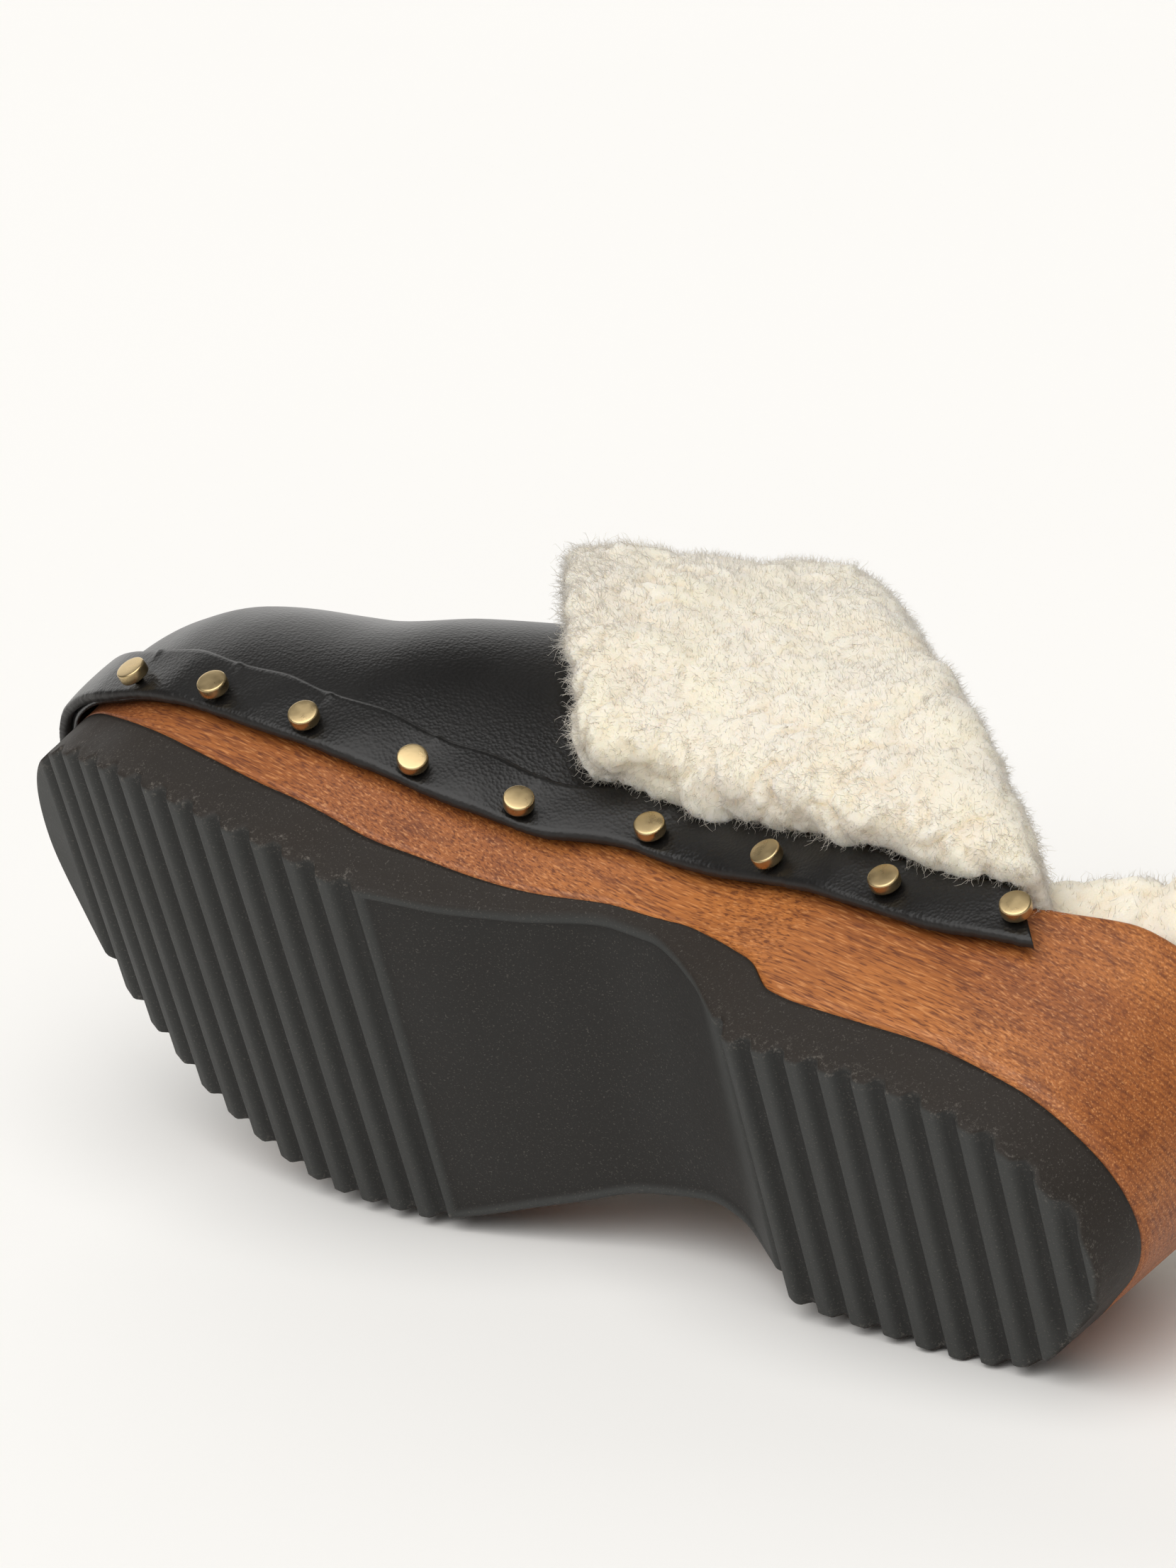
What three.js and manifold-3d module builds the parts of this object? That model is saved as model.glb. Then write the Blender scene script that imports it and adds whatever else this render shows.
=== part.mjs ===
// A wooden clog for the right foot, size 39: ribbed rubber outsole, carved wooden sole, leather vamp
// nailed round the sole's edge through a leather rand, and shearling lining, footbed and turned cuff.
//
// Millimetres. +X runs from toe to heel, -Y is the inner (big toe) side, +Z is up. The origin lies on
// the ground under the middle of the clog's bounding box. Along the sole, a station runs from 0 at the
// toe end of the tread to 1 at its heel end.

import * as THREE from "three";
import { mergeVertices } from "three/addons/utils/BufferGeometryUtils.js";
import Module from "manifold-3d";

const { Manifold, Mesh: SolidMesh } = await Module().then((wasm) => {
  wasm.setup();
  return wasm;
});

// ---------------------------------------------------------------- driving dimensions

const gap = 0.3; // between pieces that touch

// Tread outline: length, then how far each side reaches from the centre line.
const treadLength = 254;
const ballInner = 47;
const ballOuter = 44;
const waistInner = 27.5;
const waistOuter = 27;
const heelInner = 31;
const heelOuter = 32.5;
const beyond = 2 * treadLength; // past every part of the clog

// Heights above the ground.
const toeSpring = 20; // underside of the toe tip
const archRise = 13; // underside of the waist, at its outer edge
const innerArchLift = 9.2; // how much higher it is at its inner edge
const ballRim = 30; // top edge of the wood at the ball
const toeRim = 41;
const waistRim = 43.5;
const heelRim = 54.5;
const toeBoxHeight = 73.5; // top of the vamp over the toes
const instepHeight = 116; // top of the vamp at the throat
const ridgeRise = 6; // from the throat on to the tails

const soleThickness = 12; // rubber
const breastStation = 0.7; // in front of the heel, where the rubber is thicker
const breastSpread = 0.03;
const breastFill = 1.8;
const wallFlare = 0.13; // outward lean of the side walls, per millimetre of height
const wallFlareToe = -0.04; // and round the toe
const flareStarts = 0.01; // stations between which the lean grows
const flareFull = 0.15;

const ribPitch = 7.13;
const grooveWidth = 3.4;
const grooveFloor = 1.2;
const grooveDepth = 2.1;
const foreRibsEnd = 0.386; // station where the front tread stops
const heelRibsStart = 0.705; // station where the heel tread starts

const footbedHollow = 3.5; // depth of the carved footbed
const rimLand = 2; // width of the rounded rim
const hollowInset = 14; // from the wall to the floor of the hollow
const rimRound = 1.5;

const vampThickness = 1.8;
const puffThickness = 1;
const liningThickness = 5;
const cuffThickness = 14;
const cuffThicknessTail = 9;
const fleeceThickness = 12; // footbed
const fleeceBulge = 4; // how far the wool stands out over the heel's edge
const fleeceOpens = 0.03; // past the tails, the wool starts to fill the width
const fleeceOpen = 0.075; // and fills it
const liningEase = 1.5; // between the footbed's wool and the lining's
const seatEase = 0.5; // between the footbed's edge and the hollow's

const randThickness = 2;
const randAbove = 8.6; // rand edge above the nail line
const randAboveTail = 6.2;
const randBelow = 3.5; // rand edge below it
const randBelowTail = 5.2;
const randLip = 0.5; // its upper edge always clears the wood's rim by this
const randSlant = 0.9; // its tails end in a slant, longest at the bottom
const skirtBelow = 2.3; // the vamp's edge below the nail line, under the rand

const nailDrop = 5.3; // nail line below the rim
const nailDropTail = 7; // and at the tails
const nailHeadRadius = 2.9;
const nailHeadHeight = 2.3;
const nailBevel = 0.4;
const nailStandOff = 0.6; // clears the rand where the wall is hollow
const shankRadius = 0.9;
const shankLength = 12.5;
const shankPoint = 2.5;
const nailStations = [0.139, 0.213, 0.296, 0.376, 0.452, 0.552, 0.667, 0.765, 0.862];

const crestShift = -6; // the foot's ridge lies towards the inner side
const tailStation = 0.872; // rear end of the upper at the nail line
const tailsBegin = 0.6; // station where the nail line, rand and cuff start to change towards it
const tailMargin = 0.02; // the upper is built this much past its tails, then cut
const tailInset = 1; // the leather under the rand ends this far before it
const toeFan = 0.13; // station of the front of the ridge, where the toe's folds meet
const puffEnd = 0.2; // station where the toe puff stops
const throatStation = 0.482; // middle of the mouth's front edge
const cuffRoll = 11; // how far the cuff rolls over the leather's top edge at the throat
const cuffRollTail = 1.5; // and at the tails
const cuffLift = 1.8; // the cuff's lower edge above the rand
const cuffFrontLow = 0.49; // station of the cuff's front edge at the rand
const cuffFrontHigh = 0.29; // and over the instep
const cuffFrontDrop = 8; // that upper point, below the instep

// ---------------------------------------------------------------- curves of the last

// A smooth function through [at, value] points that never overshoots them.
function smooth(points) {
  const count = points.length;
  const slope = points.slice(1).map(([x, y], i) => (y - points[i][1]) / (x - points[i][0]));
  const tangent = points.map((_, i) => {
    if (i === 0) return slope[0];
    if (i === count - 1) return slope[count - 2];
    const product = slope[i - 1] * slope[i];
    return product <= 0 ? 0 : (2 * product) / (slope[i - 1] + slope[i]);
  });
  return (x) => {
    let i = 0;
    while (i < count - 2 && x > points[i + 1][0]) i++;
    const [x0, y0] = points[i];
    const [x1, y1] = points[i + 1];
    const h = x1 - x0;
    const t = THREE.MathUtils.clamp((x - x0) / h, 0, 1);
    return (
      y0 * (1 + 2 * t) * (1 - t) ** 2 +
      h * tangent[i] * t * (1 - t) ** 2 +
      y1 * t * t * (3 - 2 * t) -
      h * tangent[i + 1] * t * t * (1 - t)
    );
  };
}

// Even steps of the turn, from 0 at the toe to 1 at the heel, crowd the samples at the round ends.
const turnOf = (station) => Math.acos(1 - 2 * station) / Math.PI;
const stationOf = (turn) => (1 - Math.cos(Math.PI * turn)) / 2;
const outline = (points) => smooth(points.map(([station, y]) => [turnOf(station), y]));

const toeTip = -7;
const heelEnd = -2;
const innerSide = outline([
  [0, toeTip],
  [0.016, -0.5 * ballInner],
  [0.051, -0.73 * ballInner],
  [0.106, -0.9 * ballInner],
  [0.2, -ballInner],
  [0.3, -0.97 * ballInner],
  [0.4, -0.82 * ballInner],
  [0.5, -1.09 * waistInner],
  [0.59, -waistInner],
  [0.725, -heelInner],
  [0.84, -heelInner],
  [0.92, -0.87 * heelInner],
  [0.975, -0.56 * heelInner],
  [1, heelEnd],
]);
const outerSide = outline([
  [0, toeTip],
  [0.016, 0.14 * ballOuter],
  [0.051, 0.47 * ballOuter],
  [0.106, 0.67 * ballOuter],
  [0.184, 0.88 * ballOuter],
  [0.28, ballOuter],
  [0.36, 0.98 * ballOuter],
  [0.47, 1.34 * waistOuter],
  [0.55, 1.15 * waistOuter],
  [0.645, waistOuter],
  [0.74, heelOuter],
  [0.84, heelOuter],
  [0.92, 0.87 * heelOuter],
  [0.975, 0.42 * heelOuter],
  [1, heelEnd],
]);

// The underside: toe spring, flat ball, arched waist, flat heel.
const treadHeight = smooth([
  [0, toeSpring],
  [0.078, 0.61 * toeSpring],
  [0.16, 0.28 * toeSpring],
  [0.24, 0.09 * toeSpring],
  [0.31, 0],
  [0.37, 0],
  [0.42, 0.17 * archRise],
  [0.5, 0.62 * archRise],
  [0.56, 0.97 * archRise],
  [0.61, archRise],
  [0.65, 0.82 * archRise],
  [0.69, 0.42 * archRise],
  [0.725, 0],
  [1, 0],
]);

// The waist's underside rises towards the inner edge.
const innerLiftShare = smooth([
  [foreRibsEnd, 0],
  [0.443, 0.36],
  [0.485, 0.7],
  [0.555, 1],
  [0.59, 0.95],
  [0.622, 0.62],
  [0.684, 0.1],
  [heelRibsStart, 0],
]);
const bottomHeight = (station, lap) =>
  treadHeight(station) + (lap < 1 ? innerArchLift * innerLiftShare(station) : 0);

// The top edge of the wood.
const rimHeight = smooth([
  [0, toeRim],
  [0.06, 0.84 * toeRim],
  [0.124, 0.75 * toeRim],
  [0.29, ballRim],
  [0.382, 1.07 * ballRim],
  [0.459, 1.21 * ballRim],
  [0.552, waistRim],
  [0.7, waistRim],
  [0.8, 0.81 * heelRim],
  [0.87, 0.87 * heelRim],
  [0.93, 0.97 * heelRim],
  [1, heelRim],
]);

// The rubber is thicker in the hollow in front of the heel.
const rubberTop = (station) =>
  treadHeight(station) +
  soleThickness +
  breastFill * Math.exp(-(((station - breastStation) / breastSpread) ** 2));

// The line of nails, which the rand follows: both change a little towards the tails.
const towardsTail = (fore, tail) => (station) =>
  THREE.MathUtils.lerp(fore, tail, THREE.MathUtils.smoothstep(station, tailsBegin, tailStation));
const nailDropAt = towardsTail(nailDrop, nailDropTail);
const nailLine = (station) => rimHeight(station) - nailDropAt(station);
const randTop = (station) => nailLine(station) + towardsTail(randAbove, randAboveTail)(station);
const randBottom = (station) => nailLine(station) - towardsTail(randBelow, randBelowTail)(station);

// The ridge of the upper.
const ridgeHeight = smooth([
  [toeFan, toeBoxHeight],
  [0.25, 0.86 * toeBoxHeight + 0.14 * instepHeight],
  [0.31, 0.62 * toeBoxHeight + 0.38 * instepHeight],
  [0.4, 0.28 * toeBoxHeight + 0.72 * instepHeight],
  [throatStation, instepHeight],
  [tailStation, instepHeight + ridgeRise],
]);

// ---------------------------------------------------------------- points on the clog

const turns = 40; // samples from toe to heel
const upperTurns = Math.ceil(turns * turnOf(tailStation + tailMargin)); // to the upper's tail

// A lap of the outline runs 0 to 1 along the inner side, toe to heel, and 1 to 2 back along the outer.
function planPoint(lap) {
  const wrapped = (lap + 2) % 2;
  const turn = wrapped <= 1 ? wrapped : 2 - wrapped;
  const side = wrapped <= 1 ? innerSide : outerSide;
  return new THREE.Vector2(treadLength * stationOf(turn), side(turn));
}
const stationAt = (lap) => stationOf(Math.min(lap, 2 - lap));
function planNormal(lap) {
  const step = 1e-3;
  const tangent = planPoint(lap + step).sub(planPoint(lap - step));
  return new THREE.Vector2(tangent.y, -tangent.x).normalize();
}

const flareAt = (station) => {
  const share = THREE.MathUtils.smoothstep(station, flareStarts, flareFull);
  return THREE.MathUtils.lerp(wallFlareToe, wallFlare, share);
};

// The point of the side wall at a lap and height, moved out by offset.
function wallPoint(lap, height, offset = 0) {
  const station = stationAt(lap);
  const reach = flareAt(station) * (height - treadHeight(station)) + offset;
  const plan = planPoint(lap).addScaledVector(planNormal(lap), reach);
  return new THREE.Vector3(plan.x, plan.y, height);
}

// The upper's outer face, inset inwards: share 0 is at the rim and 1 on the ridge.
function upperPoint(lap, share, inset) {
  const station = stationAt(lap);
  const rim = rimHeight(station);
  const foot = wallPoint(lap, rim, gap + vampThickness - inset);
  const front = toeFan * treadLength + inset;
  const softness = 12;
  const behind = treadLength * station - front;
  const along = front + softness * Math.log1p(Math.exp(behind / softness));
  const ridge = new THREE.Vector3(along, crestShift, ridgeHeight(along / treadLength) - inset);
  const normal = planNormal(lap);
  const rise = ridge.z - foot.z;
  const sideHold = 0.76; // how long the side keeps to the wall's direction
  const crownHold = 0.5; // how flat the crown stays
  const lean = flareAt(station);
  const low = foot.clone().add(
    new THREE.Vector3(normal.x * lean, normal.y * lean, 1).multiplyScalar(sideHold * rise),
  );
  const high = ridge.clone().lerp(new THREE.Vector3(foot.x, foot.y, ridge.z), crownHold);
  return new THREE.CubicBezierCurve3(foot, low, high, ridge).getPoint(share);
}

// The vamp's outer face at a height near the rim, below or above it.
function vampFaceAt(lap, height, offset) {
  const rim = rimHeight(stationAt(lap));
  if (height <= rim) return wallPoint(lap, height, gap + vampThickness + offset);
  const halvings = 24;
  let low = 0;
  let high = 0.5;
  for (let i = 0; i < halvings; i++) {
    const middle = (low + high) / 2;
    if (upperPoint(lap, middle, -offset).z < height) low = middle;
    else high = middle;
  }
  return upperPoint(lap, low, -offset);
}

// ---------------------------------------------------------------- building solids

// Collects quads and triangles of named grid points into one closed geometry.
class Surface {
  constructor() {
    this.corners = [];
  }
  triangle(a, b, c) {
    this.corners.push(a, b, c);
  }
  quad(a, b, c, d) {
    this.triangle(a, b, c);
    this.triangle(a, c, d);
  }
  geometry() {
    const flat = this.corners.flatMap((corner) => corner.toArray());
    return new THREE.BufferGeometry().setAttribute(
      "position",
      new THREE.Float32BufferAttribute(flat, 3),
    );
  }
}

function solidOf(geometry) {
  const bare = geometry.clone();
  bare.deleteAttribute("normal");
  bare.deleteAttribute("uv");
  const weld = 1e-3;
  const merged = mergeVertices(bare, weld);
  return new Manifold(
    new SolidMesh({
      numProp: 3,
      vertProperties: merged.attributes.position.array,
      triVerts: new Uint32Array(merged.index.array),
    }),
  );
}

function geometryOf(solid) {
  const { vertProperties, triVerts } = solid.getMesh();
  const indexed = new THREE.BufferGeometry()
    .setAttribute("position", new THREE.BufferAttribute(vertProperties, 3))
    .setIndex(new THREE.BufferAttribute(triVerts, 1));
  const flat = indexed.toNonIndexed();
  flat.computeVertexNormals();
  return flat;
}

// A solid between rings listed from bottom to top, each a full lap of points.
function stack(rings) {
  const surface = new Surface();
  const count = 2 * turns;
  for (let level = 0; level + 1 < rings.length; level++) {
    for (let k = 0; k < count; k++) {
      const next = (k + 1) % count;
      surface.quad(rings[level][k], rings[level][next], rings[level + 1][next], rings[level + 1][k]);
    }
  }
  const across = (ring, facingUp) => {
    for (let k = 0; k < turns; k++) {
      const corners = [ring[k], ring[k + 1], ring[count - k - 1], ring[(count - k) % count]];
      if (k === 0) corners.pop();
      if (k === turns - 1) corners.splice(2, 1);
      if (!facingUp) corners.reverse();
      if (corners.length === 3) surface.triangle(...corners);
      else surface.quad(...corners);
    }
  };
  across(rings[0], false);
  across(rings.at(-1), true);
  return solidOf(surface.geometry());
}

// One lap of wall points at heightAt(station, lap), moved out by offsetAt(station).
function ring(heightAt, offsetAt = () => 0) {
  return Array.from({ length: 2 * turns }, (_, k) => {
    const lap = k / turns;
    const station = stationAt(lap);
    return wallPoint(lap, heightAt(station, lap), offsetAt(station));
  });
}

// A shell over the foot between two faces. A face gives the point of column c of an arch that
// crosses the clog at a turn: columns run up the inner side, over the ridge and down the outer.
function shell(outerFace, innerFace, columns) {
  const surface = new Surface();
  const arch = (face, p) => {
    const inner = Array.from({ length: columns }, (_, c) => face(p / turns, c));
    const outer = Array.from({ length: columns }, (_, c) => face((2 * turns - p) / turns, c));
    if (p === 0) return [...inner, ...inner.slice(0, -1).reverse()];
    return [...inner, ...outer.slice(0, -1).reverse()];
  };
  const last = 2 * columns - 2;
  let outside = arch(outerFace, 0);
  let inside = arch(innerFace, 0);
  for (let p = 0; p < upperTurns; p++) {
    const nextOutside = arch(outerFace, p + 1);
    const nextInside = arch(innerFace, p + 1);
    for (let c = 0; c < last; c++) {
      surface.quad(outside[c], nextOutside[c], nextOutside[c + 1], outside[c + 1]);
      surface.quad(inside[c], inside[c + 1], nextInside[c + 1], nextInside[c]);
    }
    surface.quad(inside[0], nextInside[0], nextOutside[0], outside[0]);
    surface.quad(outside[last], nextOutside[last], nextInside[last], inside[last]);
    outside = nextOutside;
    inside = nextInside;
  }
  for (let c = 0; c < last; c++) {
    surface.quad(outside[c], inside[c], inside[c + 1], outside[c + 1]);
  }
  return solidOf(surface.geometry());
}

// A slab across the whole width with the given outline in the XZ plane.
function slab(points) {
  const shape = new THREE.Shape(points.map(([x, z]) => new THREE.Vector2(x, z)));
  const geometry = new THREE.ExtrudeGeometry(shape, { depth: beyond, bevelEnabled: false });
  geometry.rotateX(Math.PI / 2).translate(0, beyond / 2, 0);
  return solidOf(geometry);
}

// ---------------------------------------------------------------- sole

function makeOutsole() {
  const body = stack([ring(bottomHeight), ring(rubberTop)]);
  const centres = [];
  for (let x = foreRibsEnd * treadLength; x > ribPitch; x -= ribPitch) centres.push(x);
  for (let x = heelRibsStart * treadLength; x < treadLength; x += ribPitch) centres.push(x);
  return centres.reduce((solid, x) => solid.subtract(grooveCutter(x)), body);
}

// A groove square to the underside at x, from below the tread to the groove's floor.
function grooveCutter(x) {
  const station = x / treadLength;
  const step = 0.01;
  const slope = (treadHeight(station + step) - treadHeight(station - step)) / (2 * step * treadLength);
  const length = Math.hypot(1, slope);
  const along = new THREE.Vector2(1 / length, slope / length);
  const up = new THREE.Vector2(-along.y, along.x);
  const base = new THREE.Vector2(x, treadHeight(station));
  const corner = (side, height) => {
    const point = base.clone().addScaledVector(along, side).addScaledVector(up, height);
    return [point.x, point.y];
  };
  const overshoot = 1.5;
  return slab([
    corner(-grooveWidth / 2, -overshoot),
    corner(grooveWidth / 2, -overshoot),
    corner(grooveWidth / 2, 0),
    corner(grooveFloor / 2, grooveDepth),
    corner(-grooveFloor / 2, grooveDepth),
    corner(-grooveWidth / 2, 0),
  ]);
}

const hollowAt = (inset) =>
  footbedHollow * THREE.MathUtils.clamp((inset - rimLand) / (hollowInset - rimLand), 0, 1);

function makeWoodenSole() {
  return stack([
    ring((station) => rubberTop(station) + gap),
    ring((station) => rimHeight(station) - rimRound),
    ring((station) => rimHeight(station), () => -rimLand),
    ring((station) => rimHeight(station) - footbedHollow, () => -hollowInset),
  ]);
}

// Inside the upper the fleece stops at the lining; behind it, near the wood's rim.
const upperBuild = gap + vampThickness; // from the wood's wall to the vamp's outer face
const liningInset = vampThickness + gap + puffThickness + gap; // from the vamp's face, behind the puff
const insideInset = liningInset + liningThickness - upperBuild + gap + liningEase;
const openInset = rimLand;
const openness = (station) =>
  THREE.MathUtils.smoothstep(station, tailStation + fleeceOpens, tailStation + fleeceOpen);
const fleeceInset = (station) =>
  THREE.MathUtils.lerp(insideInset, openInset, openness(station));

function makeFootbed() {
  const floor = hollowInset + seatEase;
  const seat = 2 * gap;
  const top = (share) => (station) => rimHeight(station) + share * fleeceThickness;
  const inset = (more, bulge) => (station) =>
    bulge * openness(station) - Math.min(fleeceInset(station) + more, floor);
  const crown = [ // share of the thickness, how far in, how far it bulges at the heel
    [0.3, 0.2, fleeceBulge],
    [0.6, 0.6, fleeceBulge],
    [0.9, 2, 0],
    [1, 6, 0],
  ];
  return stack([
    ring((station) => rimHeight(station) - footbedHollow + seat, () => -floor),
    ring((station) => rimHeight(station) - hollowAt(fleeceInset(station)) + seat, inset(0, 0)),
    ...crown.map(([share, more, bulge]) => ring(top(share), inset(more, bulge))),
  ]);
}

// ---------------------------------------------------------------- upper

const shares = 6; // steps from rim to ridge

// Column 0 is the lower edge at heightAt(station); the others climb from the rim to the ridge.
const drapedFace = (insetAt, heightAt) => (lap, column) => {
  const station = stationAt(lap);
  const inset = insetAt(station);
  if (column === 0) return wallPoint(lap, heightAt(station), upperBuild - inset);
  return upperPoint(lap, (column - 1) / shares, inset);
};
// The same without a drawn-down edge: column 0 is just above the wood.
const seatedFace = (insetAt) => (lap, column) => {
  const point = upperPoint(lap, column / shares, insetAt(stationAt(lap)));
  if (column === 0) point.z += 1.5 * gap;
  return point;
};

// The mouth's edge as a line in side view, from the throat down to the tail, moved back at each.
function mouthLine(throatRoll, tailRoll = throatRoll) {
  const throat = new THREE.Vector2(throatStation * treadLength, instepHeight);
  const tail = new THREE.Vector2(tailStation * treadLength, rimHeight(tailStation));
  const along = tail.clone().sub(throat).normalize();
  const away = new THREE.Vector2(-along.y, along.x);
  throat.addScaledVector(away, throatRoll);
  tail.addScaledVector(away, tailRoll);
  const line = tail.clone().sub(throat);
  const beforeThroat = 0.5;
  const pastTail = 0.6;
  return [
    throat.clone().addScaledVector(line, -beforeThroat),
    tail.clone().addScaledVector(line, pastTail),
  ];
}
// Everything above and behind the mouth's edge.
function mouthCutter(roll) {
  const [front, back] = mouthLine(roll);
  return slab([
    [back.x, back.y],
    [back.x, beyond],
    [front.x, beyond],
    [front.x, front.y],
  ]);
}
// Everything behind the tails' slant, which is moved forward by margin.
function tailCutter(margin = 0) {
  const x = tailStation * treadLength - margin;
  const z = nailLine(tailStation);
  const reach = 40;
  const lean = randSlant * reach;
  return slab([[x + lean, z - reach], [beyond, z - reach], [beyond, z + reach], [x - lean, z + reach]]);
}

function makeVamp() {
  const skirt = (station) => nailLine(station) - skirtBelow;
  return shell(
    drapedFace(() => 0, skirt),
    drapedFace(() => vampThickness, skirt),
    shares + 2,
  )
    .subtract(mouthCutter(0))
    .subtract(tailCutter(tailInset));
}

function makeToePuff() {
  const outer = vampThickness + gap;
  const end = puffEnd * treadLength;
  return shell(
    seatedFace(() => outer),
    seatedFace(() => outer + puffThickness),
    shares + 1,
  ).subtract(slab([[end, -beyond], [beyond, -beyond], [beyond, beyond], [end, beyond]]));
}

function makeLining() {
  return shell(
    seatedFace(() => liningInset),
    seatedFace(() => liningInset + liningThickness),
    shares + 1,
  )
    .subtract(mouthCutter(0))
    .subtract(tailCutter(tailInset));
}

function makeCuff() {
  const outside = seatedFace((station) => -towardsTail(cuffThickness, cuffThicknessTail)(station));
  const roll = shell(
    outside,
    seatedFace(() => liningInset + liningThickness),
    shares + 1,
  ).intersect(mouthCutter(gap));
  const turned = shell(
    outside,
    seatedFace(() => -gap),
    shares + 1,
  );
  return turned.add(roll).intersect(cuffBand());
}

// In side view the cuff lies between its slanting front edge and the mouth, above the rand.
function cuffBand() {
  const steps = 24;
  const lower = Array.from({ length: steps + 1 }, (_, i) => {
    const station = THREE.MathUtils.lerp(cuffFrontLow, tailStation + tailMargin, i / steps);
    return [station * treadLength, randTop(station) + cuffLift];
  });
  const [front, back] = mouthLine(cuffRoll, cuffRollTail);
  const line = back.clone().sub(front);
  const endHeight = lower.at(-1)[1];
  const mouthEnd = front.clone().addScaledVector(line, (endHeight - front.y) / line.y);
  lower[steps][0] = Math.min(lower[steps][0], mouthEnd.x);
  return slab([
    ...lower,
    [mouthEnd.x, endHeight],
    [front.x, front.y],
    [front.x, beyond],
    [cuffFrontHigh * treadLength, beyond],
    [cuffFrontHigh * treadLength, instepHeight - cuffFrontDrop],
  ]);
}

// ---------------------------------------------------------------- rand and nails

// A strip on the vamp's face, all round the toe, with a slanting end at each tail.
function makeRand() {
  const surface = new Surface();
  const section = (lap) => {
    const station = stationAt(lap);
    const low = randBottom(station);
    const rim = rimHeight(station);
    const high = Math.max(randTop(station), rim + randLip);
    const near = gap;
    const far = gap + randThickness;
    return [
      [low, near],
      [low, far],
      [rim, far],
      [high, far],
      [high, near],
      [rim, near],
    ].map(([height, offset]) => vampFaceAt(lap, height, offset));
  };
  const rows = 2 * upperTurns;
  const sections = Array.from({ length: rows + 1 }, (_, row) =>
    section((row - upperTurns + 2 * turns) / turns % 2),
  );
  const count = sections[0].length;
  for (let row = 0; row < rows; row++) {
    for (let k = 0; k < count; k++) {
      const next = (k + 1) % count;
      surface.quad(sections[row][k], sections[row + 1][k], sections[row + 1][next], sections[row][next]);
    }
  }
  const end = ([a, b, c, d, e, f], flip) => {
    const faces = [[a, b, c, f], [f, c, d, e]];
    faces.forEach((face) => surface.quad(...(flip ? face.reverse() : face)));
  };
  end(sections[0], false);
  end(sections[rows], true);
  return solidOf(surface.geometry()).subtract(tailCutter());
}

const nailProfile = () =>
  [
    [0, -shankLength],
    [shankRadius, -shankLength + shankPoint],
    [shankRadius, 0],
    [nailHeadRadius, 0],
    [nailHeadRadius, nailHeadHeight - nailBevel],
    [nailHeadRadius - nailBevel, nailHeadHeight],
    [0, nailHeadHeight],
  ].map(([radius, height]) => new THREE.Vector2(radius, height));

// Where each nail's head meets the rand, and the way it points.
function nailPlaces() {
  const laps = [
    ...nailStations.map((station) => turnOf(station)),
    ...nailStations.map((station) => 2 - turnOf(station)),
    0,
  ];
  return laps.map((lap) => {
    const height = nailLine(stationAt(lap));
    const seat = upperBuild + gap + randThickness + nailStandOff;
    const position = wallPoint(lap, height, seat);
    const plan = planNormal(lap);
    const direction = new THREE.Vector3(plan.x, plan.y, -flareAt(stationAt(lap))).normalize();
    return { position, direction };
  });
}

const upright = new THREE.Vector3(0, 1, 0);
function nailHole({ position, direction }) {
  const length = shankLength + 2 * gap;
  const geometry = new THREE.CylinderGeometry(shankRadius + gap, shankRadius + gap, length, 8);
  geometry.translate(0, -length / 2 + gap, 0);
  geometry.applyQuaternion(new THREE.Quaternion().setFromUnitVectors(upright, direction));
  geometry.translate(position.x, position.y, position.z);
  return solidOf(geometry);
}

// ---------------------------------------------------------------- materials and assembly

const material = (color, roughness, metalness = 0) =>
  new THREE.MeshStandardMaterial({ color, roughness, metalness });
const rubber = material(0x2b2724, 0.85);
const wood = material(0x9a5a2c, 0.5);
const leather = material(0x17171a, 0.4);
const stiffener = material(0xb9a88a, 0.9);
const shearling = material(0xeee7da, 1);
const brass = material(0xc4a765, 0.3, 1);

const clog = new THREE.Group();
const add = (name, geometry, look) => {
  const mesh = new THREE.Mesh(geometry, look);
  mesh.name = name;
  clog.add(mesh);
  return mesh;
};

const nails = nailPlaces();
const drilled = (solid) => nails.reduce((rest, nail) => rest.subtract(nailHole(nail)), solid);

add("outsole", geometryOf(makeOutsole()), rubber);
add("wooden_sole", geometryOf(drilled(makeWoodenSole())), wood);
add("footbed_fleece", geometryOf(makeFootbed()), shearling);
add("vamp", geometryOf(drilled(makeVamp())), leather);
add("toe_puff", geometryOf(makeToePuff()), stiffener);
add("lining_fleece", geometryOf(makeLining()), shearling);
add("cuff_fleece", geometryOf(makeCuff()), shearling);
add("rand", geometryOf(drilled(makeRand())), leather);

const nailGeometry = new THREE.LatheGeometry(nailProfile(), 12);
nails.forEach(({ position, direction }, i) => {
  const nail = add(`nail_${String(i + 1).padStart(2, "0")}`, nailGeometry, brass);
  nail.position.copy(position);
  nail.quaternion.setFromUnitVectors(upright, direction);
});

// Put the origin on the ground under the middle of the bounding box.
const bounds = new THREE.Box3().setFromObject(clog);
const origin = bounds.getCenter(new THREE.Vector3()).setZ(bounds.min.z);
clog.children.forEach((piece) => piece.position.sub(origin));

export default clog;
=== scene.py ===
"""The looks of the wooden clog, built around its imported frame.

Shapes are worked out in millimetres from the same driving dimensions as the clog's own design,
and put in the frame by matching the outsole's box. A lap of the outline runs 0 to 1 along the
inner side, toe to heel, and 1 to 2 back along the outer side. A station runs from 0 at the toe
to 1 at the heel.
"""

import math

import bmesh
import bpy
import numpy as np
from mathutils import Matrix, Vector, kdtree


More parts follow.
